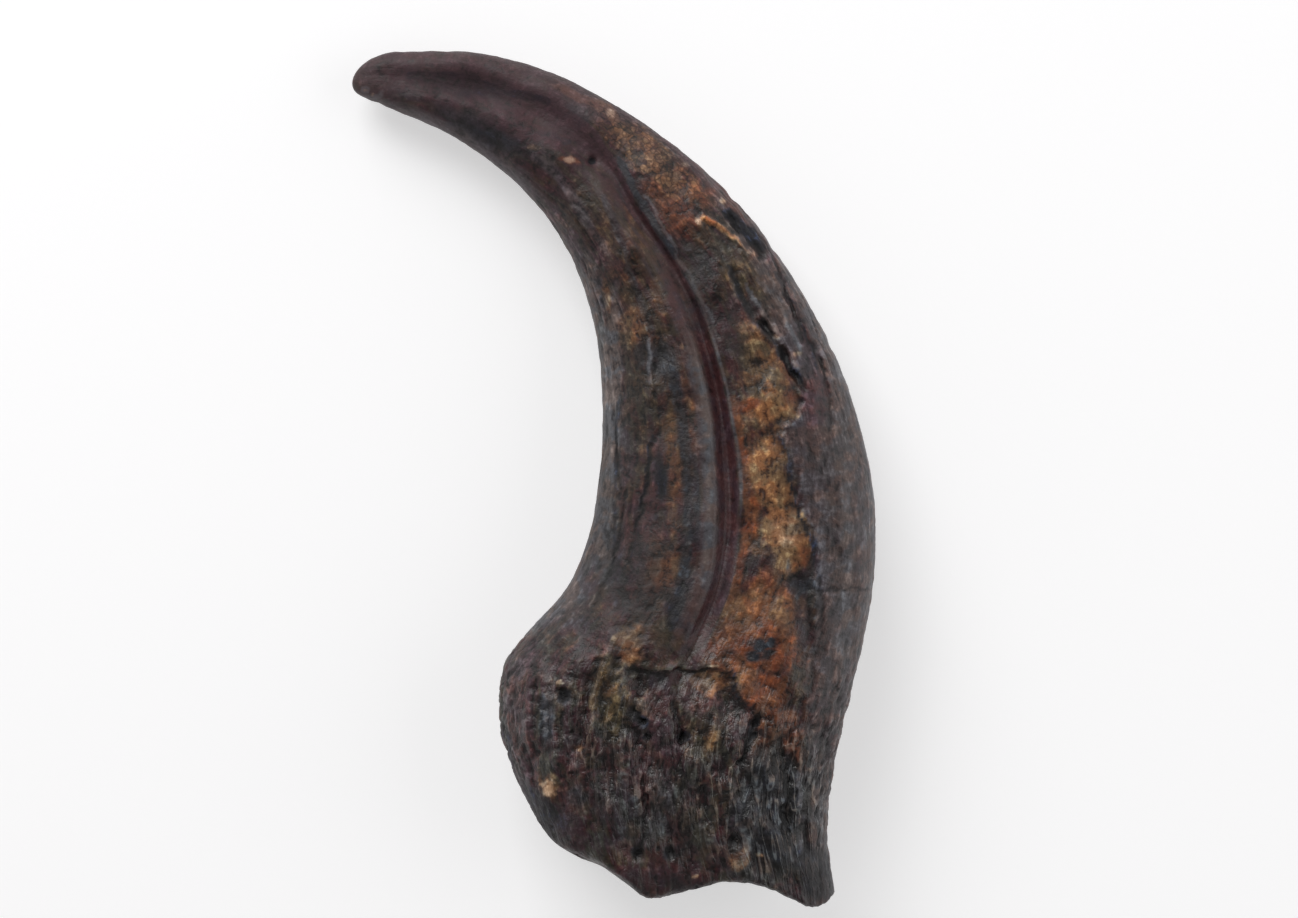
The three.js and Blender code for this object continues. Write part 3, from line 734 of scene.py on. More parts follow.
        Patch((27.5, -43.9), 12.2, 2.7, 0, 0.5), Patch((3.2, -30.1), 1.6, 1.1, 0, 0.5),
        Patch((6.1, -43.9), 8.1, 4.1, 0, 0.25), Patch((-21.5, 45.5), 14.9, 1.1, 62, 0.7),
        Patch((23.2, 23.0), 8.1, 2.2, 26, 0.5), Patch((16.9, 33.3), 0.7, 0.9, 40, 0.6),
        Patch((18.6, 31.7), 0.7, 1.2, 40, 0.6), Patch((-33.5, 51.7), 1.1, 1.4, 30, 1.2),
        Patch((-31.8, 50.8), 0.7, 1.9, 28, 1.2),
    ),
    # Darker stone: partly its own darker tone, partly painted shade along the palmar edge, at the joint's
    # dorsal corner and in the tip's groove.
    Tint.SHADE: (
        Patch((5.1, 7.4), 36.5, 9.5, 0, 0.7), Patch((4.3, -14.2), 17.6, 11.3, 10),
        Patch((-21.5, 51.7), 23.0, 5.4, 78, 0.8), Patch((-14.8, 45.2), 17.6, 5.9, 60, 1.1),
        Patch((11.8, 25.0), 14.9, 4.6, 20), Patch((27.3, -52.8), 7.6, 4.6, 0, 1.2),
        Patch((8.8, -53.1), 17.6, 3.5, -3, 1.1), Patch((2.4, -11.7), 8.1, 2.4, 12, 0.9),
        Patch((-1.8, -6.1), 20.2, 3.5, 8, 1.1), Patch((23.7, 22.0), 10.8, 3.5, 24, 0.8),
    ),
}
VEINS: dict[Tint, tuple[Vein, ...]] = {
    Tint.OCHRE: (
        Vein(((11.5, 34.7), (14.0, 33.2), (16.4, 31.2), (18.7, 29.3)), 0.7, 0.8),
    ),
    Tint.RUST: (
        Vein(((12.4, 34.4), (14.5, 32.9), (16.9, 30.9)), 0.6, 0.6),
        Vein(
            (
                (15.9, 10.1), (16.9, 4.7), (17.5, 0.0), (17.8, -4.1), (17.5, -8.1), (16.7, -12.2),
                (15.6, -16.2),
            ),
            1.3, 0.6,
        ),
    ),
    Tint.SLATE: (
        Vein(((0.6, 42.0), (3.0, 37.5), (5.5, 33.1), (7.5, 29.8), (9.1, 26.3), (10.5, 23.6)), 1.1, 0.9),
        Vein(((-11.7, 45.6), (-8.4, 45.5), (-6.3, 44.4)), 0.8, 0.9),
        Vein(((23.2, -11.5), (25.0, -22.3), (25.9, -30.4)), 1.0, 0.5),
        Vein(((7.8, 14.2), (9.0, 7.4), (9.8, 0.7), (9.9, -7.4), (9.1, -14.2), (7.8, -19.8)), 1.6, 0.75),
        Vein(((-1.4, 37.1), (0.7, 31.7), (2.9, 25.0), (4.8, 19.6)), 1.0, 0.5),
    ),
    Tint.MAROON: (
        Vein(((6.1, 3.9), (5.6, 0.7), (4.9, -3.4), (4.3, -7.4), (2.9, -11.7), (2.1, -15.5)), 1.6, 0.7),
        Vein(
            (
                (-29.5, 53.6), (-24.9, 53.6), (-21.5, 53.6), (-18.7, 53.1), (-15.7, 51.8), (-12.8, 50.9),
                (-9.0, 50.1),
            ),
            1.2,
        ),
        Vein(((-11.0, -22.3), (-11.3, -29.0), (-11.0, -34.4), (-10.5, -39.8)), 0.8, 0.9),
        Vein(((-5.9, -39.2), (-2.0, -38.9), (2.4, -38.6)), 0.7, 0.8),
        Vein(((4.1, -38.1), (4.3, -44.1)), 0.8, 0.8),
    ),
    Tint.CHAR: (
        Vein(((15.3, 34.8), (16.3, 34.2), (17.6, 32.9), (19.0, 31.6), (19.9, 30.5)), 1.6),
        Vein(
            ((15.2, 27.7), (16.3, 25.2), (17.5, 22.5), (18.7, 20.5), (20.3, 18.6), (21.8, 16.9)),
            0.8, 0.65,
        ),
        Vein(((21.9, 16.6), (22.7, 15.5), (24.1, 13.6), (24.8, 12.6)), 0.8),
        Vein(
            ((21.8, 27.1), (22.6, 24.4), (24.1, 23.0), (25.6, 18.6), (26.5, 16.3), (26.9, 14.2)),
            0.5, 0.7,
        ),
        # Painted shade along the foot of the strip's step.
        Vein(
            (
                (21.9, 4.9), (23.2, 2.8), (23.4, 0.3), (24.0, -2.7), (24.6, -5.3), (25.7, -7.3),
                (26.5, -9.0), (26.4, -11.6),
            ),
            0.7, 0.85,
        ),
        Vein(
            ((5.1, 5.5), (4.8, 4.1), (4.4, 0.7), (3.8, -2.7), (3.2, -6.1), (2.6, -9.5), (2.1, -13.1)),
            0.45, 0.7,
        ),
        Vein(((15.6, -25.8), (16.1, -28.4), (17.5, -30.6)), 0.7, 0.8),
        Vein(((18.6, -32.3), (17.8, -35.1), (16.7, -37.8)), 0.8, 1.1),
        Vein(((27.5, -15.1), (34.0, -15.1)), 0.35, 0.4), Vein(((27.3, -13.5), (27.3, -21.5)), 0.5, 0.5),
        Vein(((0.5, 10.1), (0.3, 0.7), (-0.1, -11.5)), 0.5, 0.6),
        Vein(
            (
                (-27.6, 53.6), (-24.9, 53.6), (-21.5, 53.6), (-18.7, 53.1), (-15.7, 51.8), (-12.8, 50.9),
                (-9.0, 50.1),
            ),
            1.2, 0.55,
        ),
        Vein(((24.6, 20.1), (27.4, 12.4), (28.3, 5.6)), 0.9, 0.9, Flank.LOWER),
        Vein(((2.6, 12.0), (4.2, 1.8), (3.1, -7.5)), 0.7, 0.8, Flank.LOWER),
    ),
    # Pale lines along raised ridges, the groove's bank and the strip: partly painted highlight, partly the
    # stone's own pale lines.
    Tint.BLOOM: (
        Vein(((4.5, 18.0), (4.7, 12.6)), 0.6, 0.9), Vein(((24.5, -37.8), (24.5, -52.2)), 0.6, 0.6),
        Vein(((9.8, 26.9), (11.5, 23.6), (12.9, 20.9), (14.0, 17.6)), 0.5, 0.6),
        Vein(((4.3, 37.1), (6.1, 33.8), (8.0, 30.4), (9.8, 26.9)), 0.5, 0.6),
        Vein(((17.6, 25.2), (19.6, 22.0), (21.8, 18.8)), 0.6, 0.8),
        Vein(((19.2, 26.3), (21.8, 23.0), (23.7, 19.2), (24.8, 16.9)), 0.6, 0.8),
        Vein(((20.7, 26.9), (22.9, 22.8), (24.5, 19.6)), 0.5, 0.6),
    ),
}


@dataclass
class Lie:
    """Everything the relief and the stains need to know about each point of the grid.

    x, y and z are its place, and run, cross and rise the same place with the claw pulled straight.
    place is its place along the sections, edge goes from -1 at the palmar edge to 1 at the dorsal
    edge, and groove is the distance across the blood groove, whose depth is in depth. side goes
    from 1 on top to -1 below. base is 1 near the joint and 0 on the blade, hold is how fully relief
    is felt, calm keeps the poles smooth and face is 1 on the joint face.
    """

    x: np.ndarray
    y: np.ndarray
    z: np.ndarray
    run: np.ndarray
    cross: np.ndarray
    rise: np.ndarray
    place: np.ndarray
    edge: np.ndarray
    groove: np.ndarray
    depth: np.ndarray
    side: np.ndarray
    base: np.ndarray
    hold: np.ndarray
    calm: np.ndarray
    face: np.ndarray

    @classmethod
    def joined(cls, first: "Lie", second: "Lie") -> "Lie":
        """Puts one grid's rings before another's."""
        names = [item.name for item in fields(cls)]
        return cls(**{n: np.concatenate([getattr(first, n), getattr(second, n)]) for n in names})

    def first_ring(self) -> "Lie":
        """The grid's first ring alone."""
        return Lie(**{item.name: getattr(self, item.name)[:1] for item in fields(self)})

    def straight(self, run: float, cross: float) -> np.ndarray:
        """The straightened places, in units of run millimetres along and cross millimetres across."""
        return np.stack([self.run / run, self.cross / cross, self.rise / cross], -1)

    def places(self, unit: float) -> np.ndarray:
        """The real places, in units of so many millimetres."""
        return np.stack([self.x, self.y, self.z], -1) / unit


@dataclass
class ClawSurface:
    """The claw's whole skin as one closed grid of rings and columns.

    Sizes are in millimetres. A pair named fade holds where a fade starts and where it ends: at
    places along the sections for base_fade, past the shoulder for hold_fade and calm_fade.
    """

    rim_reach: float = 3.0
    rim_rounding: float = 1.4
    section_pitch: float = 7.6
    inward: Point = (-0.145, 0.989)
    cup_from: float = 0.4
    cup_to: float = 0.97
    cup_depth: float = 3.2
    cup_steepness: float = 0.7
    keel: float = 1.3
    keel_width: float = 2.2
    knob_swell: float = 1.0
    palmar_power: float = 2.6
    palmar_root: float = 0.5
    dorsal_power: float = 3.2
    dorsal_root: float = 0.46
    blunter_at_base: float = 0.4
    valley_depth: float = 0.07
    valley_width: float = 0.35
    lower_lip_share: float = 0.3
    widest_chord: float = 36.0
    narrowest_chord: float = 4.0
    groove_span: float = 3.4
    most_groove_share: float = 0.12
    groove_columns: Span = (0.36, 0.6)
    base_fade: Span = (2.0, 5.0)
    hold_fade: Span = (-0.9, 0.6)
    calm_fade: Span = (0.5, 0.97)
    full_from: float = 0.75
    face_run: float = 3.0
    face_calm: float = 0.15
    lean_about_x: float = -4.3
    lean_about_y: float = -0.6
    wear: float = 0.35
    body_rings: int = 366
    cap_rings: int = 14
    face_rings: int = 24
    rim_places: tuple[float, ...] = (0.0, 0.012, 0.03, 0.055, 0.09, 0.13)
    rim_places_end: float = 0.16
    run_samples: int = 400
    upper_columns: int = 146
    lower_columns: int = 94

    def columns(self) -> tuple[np.ndarray, np.ndarray]:
        """Shares across the flank right round a ring, over the top and back below, and their side."""
        upper = np.arange(self.upper_columns) / self.upper_columns
        lower = 1 - np.arange(self.lower_columns) / self.lower_columns
        sides = np.repeat([1.0, -1.0], [self.upper_columns, self.lower_columns])
        return np.concatenate([upper, lower]), sides

    def section(self, place: np.ndarray) -> dict[str, np.ndarray]:
        """Reads the sections at each place.

        Past the shoulder a section shrinks as a half ellipsoid does, to a point at the tip. At the
        joint end its half thickness loses a quarter circle, which rounds the rim.

        Args:
            place: places along the claw, 0 at the joint rim and one more at each section.

        Returns:
            The middle and the reach to the dorsal edge in X and Y, half thickness, groove share
            and depth, chord, and how far the joint rim's shape is felt.
        """
        read = {
            key: along([getattr(s, key) for s in SECTIONS], place) for key in ("half", "groove", "depth")
        }
        past = np.clip(place - SHOULDER, 0, 1)
        shrink = np.sqrt(1 - past * past)
        for axis, name in enumerate("xy"):
            palmar = along([s.palmar[axis] for s in SECTIONS], place)
            dorsal = along([s.dorsal[axis] for s in SECTIONS], place)
            read["middle_" + name] = (palmar + dorsal) / 2 * (1 - past) + TIP[axis] * past
            read["reach_" + name] = (dorsal - palmar) / 2 * shrink
        from_rim = np.clip(place * self.section_pitch, 0, self.rim_rounding) / self.rim_rounding
        read["half"] = read["half"] * shrink - self.rim_rounding * (1 - np.sqrt(1 - (1 - from_rim) ** 2))
        read["chord"] = 2 * np.hypot(read["reach_x"], read["reach_y"])
        read["rim_pull"] = np.maximum(0, 1 - place / self.rim_reach) ** 2
        return read

    def across(self, share: np.ndarray, groove: np.ndarray, chord: np.ndarray) -> np.ndarray:
        """Spreads columns over a flank: some keep to the groove, the rest close up at the edges."""
        span = np.minimum(self.groove_span / np.maximum(chord, 1), self.most_groove_share)
        low, high = groove - span, groove + span
        start, stop = self.groove_columns
        palmar = low * (1 - np.cos(np.pi / 2 * share / start))
        dorsal = 1 - (1 - high) * (1 - np.cos(np.pi / 2 * (1 - share) / (1 - stop)))
        middle = low + (high - low) * (share - start) / (stop - start)
        return np.where(share < start, palmar, np.where(share > stop, dorsal, middle))

    def rim(self, s: np.ndarray) -> tuple[np.ndarray, np.ndarray]:
        """The joint rim's outline, s of the way from the palmar to the dorsal edge."""
        place = s * (len(JOINT_RIM) - 1)
        return along([p[0] for p in JOINT_RIM], place), along([p[1] for p in JOINT_RIM], place)

    def fullness(self, edge: np.ndarray, base: np.ndarray) -> np.ndarray:
        """The outline of a section: (1 - |e|^power)^root, sunk by a bell curve along its middle."""
        power = np.where(edge < 0, self.palmar_power, self.dorsal_power) + self.blunter_at_base * base
        root = np.where(edge < 0, self.palmar_root, self.dorsal_root)
        arch = np.maximum(0, 1 - np.abs(edge) ** power) ** root
        return arch * (1 - self.valley_depth * np.exp(-((edge / self.valley_width) ** 2)))

    def run_at(self, place: np.ndarray) -> np.ndarray:
        """Millimetres along the middle of the claw from the joint rim to a place."""
        fine = np.linspace(0, SHOULDER + 1, self.run_samples)
        there = self.section(fine)
        steps = np.hypot(np.diff(there["middle_x"]), np.diff(there["middle_y"]))
        return np.interp(place, fine, np.concatenate([[0], np.cumsum(steps)]))

    def flanks(self, place: np.ndarray) -> Lie:
        """The two flanks and the edges between them.

        A point of a ring lies s of the way along its chord, moved by the joint rim's shape near
        the joint, and stands half thickness times fullness off the median plane, plus the
        groove, the swells and the marks where the flank is full enough to carry them.

        Args:
            place: places of the rings along the claw.

        Returns:
            The grid, one row to a ring.
        """
        shares, sides = self.columns()
        place, share = place[:, None], shares[None, :]
        side = np.broadcast_to(sides, (place.shape[0], share.shape[1]))
        there = self.section(place)
        s = self.across(share, there["groove"], there["chord"])
        edge = 2 * s - 1
        x = there["middle_x"] + edge * there["reach_x"]
        y = there["middle_y"] + edge * there["reach_y"]
        rim_x, rim_y = self.rim(s)
        first, last = JOINT_RIM[0], JOINT_RIM[-1]
        x = x + there["rim_pull"] * (rim_x - (first[0] + (last[0] - first[0]) * s))
        y = y + there["rim_pull"] * (rim_y - (first[1] + (last[1] - first[1]) * s))
        base = np.broadcast_to(1 - smooth(place, *self.base_fade), s.shape)
        full = self.fullness(edge, base)
        hold_from, hold_to = (SHOULDER + past for past in self.hold_fade)
        calm_from, calm_to = (SHOULDER + past for past in self.calm_fade)
        hold = smooth(full, 0, self.full_from) * (1 - smooth(place, hold_from, hold_to))
        groove = (s - there["groove"]) * there["chord"]
        depth = np.broadcast_to(there["depth"], s.shape)
        lip_share = np.where(side > 0, 1.0, self.lower_lip_share)
        height = GrooveShape.at(place).relief(groove, depth, lip_share) + self.marks(x, y, side)
        height = height + sum(wave.relief(x, y) for wave in SWELLS) + base * BASE_LUMPS.relief(x, y)
        z = side * np.maximum(0, there["half"] * full + hold * height)
        stretch = np.sqrt(np.maximum(there["chord"], self.narrowest_chord) * self.widest_chord)
        return Lie(
            x=x, y=y, z=z,
            run=np.broadcast_to(self.run_at(place), s.shape),
            cross=(s - 0.5) * stretch,
            rise=z,
            place=np.broadcast_to(place, s.shape),
            edge=edge, groove=groove, depth=depth,
            side=side * full,
            base=base, hold=hold,
            calm=np.broadcast_to(1 - smooth(place, calm_from, calm_to), s.shape),
            face=np.zeros_like(s),
        )

    def marks(self, x: np.ndarray, y: np.ndarray, side: np.ndarray) -> np.ndarray:
        """Scarps, fissures and pits of each flank, their lines made ragged by fine ripples."""
        places = ragged(x, y, side)
        total = np.zeros_like(x)
        for flank, marks in MARKS.items():
            here = sum(mark.relief(*places) for mark in marks)
            total = np.where(side == flank.value, here, total)
        return total

    def joint_face(self, rim: Lie) -> Lie:
        """The cupped joint face, as rings that close in from the rim to its middle.

        A ring's point slides along the rim's outline towards the middle and sinks into the claw
        by the cup's depth, less the keel. It sinks as a quarter circle does, steeply at the rim
        and level at the middle. The flexor knob's part bulges out instead.

        Args:
            rim: the first ring of the flanks.

        Returns:
            The grid, its first row next to the middle.
        """
        inset = (np.arange(self.face_rings - 1, 0, -1) / self.face_rings)[:, None]
        s = (rim.edge + 1) / 2 * (1 - inset) + 0.5 * inset
        z = rim.z * (1 - inset)
        x, y = self.rim(s)
        in_cup = np.clip((s - self.cup_from) / (self.cup_to - self.cup_from), 0, 1)
        cup = np.maximum(np.sin(np.pi * in_cup), 0) ** self.cup_steepness
        keel = self.keel * np.exp(-((z / self.keel_width) ** 2))
        on_knob = np.sin(np.pi * np.clip(s / self.cup_from, 0, 1))
        room = np.sqrt(1 - (1 - inset) ** 2)
        deep = room * (cup * (self.cup_depth - keel) - self.knob_swell * on_knob)
        none, full = np.zeros_like(s), np.ones_like(s)
        return Lie(
            x=x + self.inward[0] * deep, y=y + self.inward[1] * deep, z=z,
            run=deep - self.face_run * inset, cross=(s - 0.5) * self.widest_chord, rise=z,
            place=none, edge=2 * s - 1, groove=FAR * full, depth=none,
            side=rim.side * (1 - inset),
            base=full, hold=none,
            calm=np.broadcast_to(smooth(1 - inset, 0, self.face_calm), s.shape),
            face=full,
        )

    def grid(self) -> Lie:
        """The whole surface, from beside the joint face's middle to just short of the tip."""
        body = np.linspace(0, 1, self.body_rings) * SHOULDER
        body = np.concatenate([self.rim_places, body[body > self.rim_places_end]])
        cap = SHOULDER + np.sin(np.pi / 2 * np.arange(1, self.cap_rings + 1) / (self.cap_rings + 1))
        flanks = self.flanks(np.concatenate([body, cap]))
        return Lie.joined(self.joint_face(flanks.first_ring()), flanks)


def outward(points: np.ndarray) -> np.ndarray:
    """Unit normals of a grid that closes across: the step across crossed with the step along."""
    lengthways = np.gradient(points, axis=0)
    sideways = np.roll(points, -1, axis=1) - np.roll(points, 1, axis=1)
    normal = np.cross(sideways, lengthways)
    return normal / np.maximum(np.linalg.norm(normal, axis=-1, keepdims=True), 1e-9)


def blurred(values: np.ndarray, times: int) -> np.ndarray:
    """Averages a grid that closes across with its neighbours, over and over."""
    for _ in range(times):
        padded = np.concatenate([values[:1], values, values[-1:]])
        values = (2 * values + padded[:-2] + padded[2:]) / 4
        values = (2 * values + np.roll(values, 1, axis=1) + np.roll(values, -1, axis=1)) / 4
    return values


# Where the upper flank's skin is crazed, ridged and flaky, as soft ellipses.
CRAZED = (Patch((5.5, 41.5), 24, 8, 47), Patch((20.5, 0.0), 44, 8, strength=0.4))
RIDGED = (
    Patch((20.5, -44.0), 28, 17), Patch((4.0, -40.0), 18, 22, strength=0.4),
    Patch((-2.0, -31.0), 16, 12, strength=0.4),
)
FLAKY = (
    Patch((17.8, 31.8), 10, 4, 45), Patch((22.0, 18.0), 15, 6, 28, 0.6),
    Patch((1.5, -31.5), 12, 12, strength=0.6), Patch((19.0, -33.0), 10, 8, strength=0.5),
)


@dataclass
class Grain:
    """The fine relief of the fossil's skin: fibres, ridges, cracks, cells, pocks and flakes.

    Heights and depths are in millimetres. rare is the cell number past which a cell has a hole.
    """

    lie: Lie
    channel_middle: float = -0.8
    channel_fade: Span = (2.4, 3.6)
    channel_depth: float = 0.7
    fibre_height: float = 0.06
    leather_height: float = 0.05
    pebble_height: float = 0.06
    crack_depth: float = 0.16
    craze_height: float = 0.1
    pock_depth: float = 0.3
    lump_height: float = 0.17
    swelling_height: float = 0.18
    roll_height: float = 0.24
    ridge_height: float = 0.4
    hole_depth: float = 0.7
    rare: float = 0.88
    flake_height: float = 0.3
    flake_levels: float = 3.5
    span_height: float = 0.035

    def over(self, zones: tuple[Patch, ...]) -> np.ndarray:
        """The sum of several soft ellipses."""
        return sum(zone.cover(self.lie.x, self.lie.y, self.lie.side) for zone in zones)

    def channel(self) -> np.ndarray:
        """1 in the groove and on its lip, 0 away from them."""
        near = 1 - smooth(np.abs(self.lie.groove - self.channel_middle), *self.channel_fade)
        return near * np.clip(self.lie.depth / self.channel_depth, 0, 1) * (1 - self.lie.face)

    def crazed(self) -> np.ndarray:
        """How far the skin is crazed into small cells."""
        return np.clip(self.over(CRAZED), 0, 1)

    def fan(self) -> np.ndarray:
        """How far thin ridges fan out over the base, towards the joint's upper lip."""
        return np.clip(self.over(RIDGED) + 0.6 * (self.lie.side < 0), 0, 1) * self.lie.base

    def sleek(self) -> np.ndarray:
        """How smooth the skin is worn: most in the groove, at the tip and along the joint's rim."""
        lie = self.lie
        rim = (1 - smooth(lie.place, 0.5, 1.2)) * (1 - lie.face)
        return np.clip(self.channel() + 0.6 * smooth(lie.place, 12, 15) + 0.7 * rim, 0, 1)

    def fibrous(self, strip: np.ndarray) -> np.ndarray:
        """How clearly fibres run along the skin: along the palmar edge and on the outer strip.

        Args:
            strip: 1 on the strip along the outer edge.

        Returns:
            The share, from 0 to about 1, for each point.
        """
        lie = self.lie
        there = 0.8 * smooth(-lie.edge, 0.45, 0.9) + 0.5 * strip
        return there * (1 - smooth(lie.place, 11, 14))

    def matt(self, fibrous: np.ndarray) -> np.ndarray:
        """How dull and plain the skin is: most at the tip, then low on the palmar side.

        Args:
            fibrous: how clearly fibres run along the skin.

        Returns:
            The share, from 0 to 1, for each point.
        """
        lie = self.lie
        low = smooth(-lie.edge, 0.0, 0.5) * (1 - smooth(lie.place, 7, 9)) * (1 - lie.base)
        return np.clip(0.4 * fibrous + smooth(lie.place, 11, 14) + 0.6 * low, 0, 1)

    def chips(self) -> np.ndarray:
        """Depth of the chips broken from the edges, through both flanks."""
        return sum(nick.relief(self.lie.x, self.lie.y) for nick in NICKS)

    def blade_relief(self) -> np.ndarray:
        """Height of what covers the whole claw: fibres, hairlines, cells and leathery grain.

        Fibres are noise drawn out along the claw. A hairline lies where such a noise passes
        through 0, and the grain and the cells are noise and cells about a millimetre wide.
        """
        lie = self.lie
        fibres = self.fibre_height * (1 - 0.85 * smooth(lie.place, 11, 14))
        fibres = fibres * fractal(lie.straight(run=5.0, cross=0.9), Seed.FIBRES)
        leather = self.leather_height * fractal(lie.places(unit=1.1), Seed.LEATHER, 2)
        leather = leather + self.pebble_height * ripple(lie.places(unit=2.6), Seed.PEBBLES)
        hair = np.abs(ripple(lie.straight(run=17.0, cross=3.4), Seed.HAIRLINES))
        split = smooth(ripple(lie.places(unit=9.0), Seed.SPLIT), -0.2, 0.3)
        split = split * (1 - smooth(lie.place, 12, 14.5))
        cracks = -self.crack_depth * (1 - smooth(hair, 0.0, 0.07)) * split
        near, gap, own = cells(lie.places(unit=1.0), Seed.CELLS)
        craze = self.craze_height * self.crazed() * (smooth(gap, 0.02, 0.3) - 0.6)
        pocks = -self.pock_depth * (own > self.rare) * (1 - smooth(near, 0.1, 0.4))
        return fibres + leather + cracks + craze + pocks * (0.2 + 0.8 * lie.base)

    def base_relief(self) -> np.ndarray:
        """Height of the base's rough skin: lumps, rolls with creases between, ridges that fan out.

        A crease lies where drawn-out noise passes through 0, and a roll between two creases.
        """
        lie = self.lie
        lumps = self.lump_height * fractal(lie.places(unit=1.8), Seed.LUMPS)
        lumps = lumps + self.swelling_height * ripple(lie.places(unit=3.6), Seed.SWELLINGS)
        creases = np.abs(fractal(lie.straight(run=3.2, cross=1.0), Seed.CREASES))
        rolls = self.roll_height * (smooth(creases, 0.0, 0.45) - 0.55)
        ridges = 0.35 - np.abs(fractal(lie.straight(run=5.5, cross=0.95), Seed.RIDGES, 2))
        near, _, own = cells(lie.places(unit=2.4), Seed.HOLES)
        holes = -self.hole_depth * (own > self.rare) * (1 - smooth(near, 0.05, 0.26))
        total = lumps + rolls + self.ridge_height * self.fan() * ridges + holes
        return total * lie.base * (0.4 + 0.6 * smooth(lie.place, 0.5, 1.3))

    def relief(self) -> np.ndarray:
        """Height of all fine relief, in millimetres along the normal.

        Flakes are terraces: noise rounded down to a few levels. Spans are faint waves across the
        outer edge.
        """
        lie = self.lie
        flakes = fractal(lie.straight(run=2.6, cross=1.3), Seed.TERRACES, 2)
        terraces = np.floor(flakes * self.flake_levels) / self.flake_levels
        spans = self.span_height * ripple(lie.straight(run=0.9, cross=7.0), Seed.SPANS)
        total = self.blade_relief() + self.base_relief()
        total = total + self.flake_height * self.over(FLAKY) * terraces
        total = total + smooth(lie.edge, 0.5, 0.8) * spans
        return total * (1 - 0.85 * self.channel()) * lie.calm * (1 - 0.6 * lie.face)


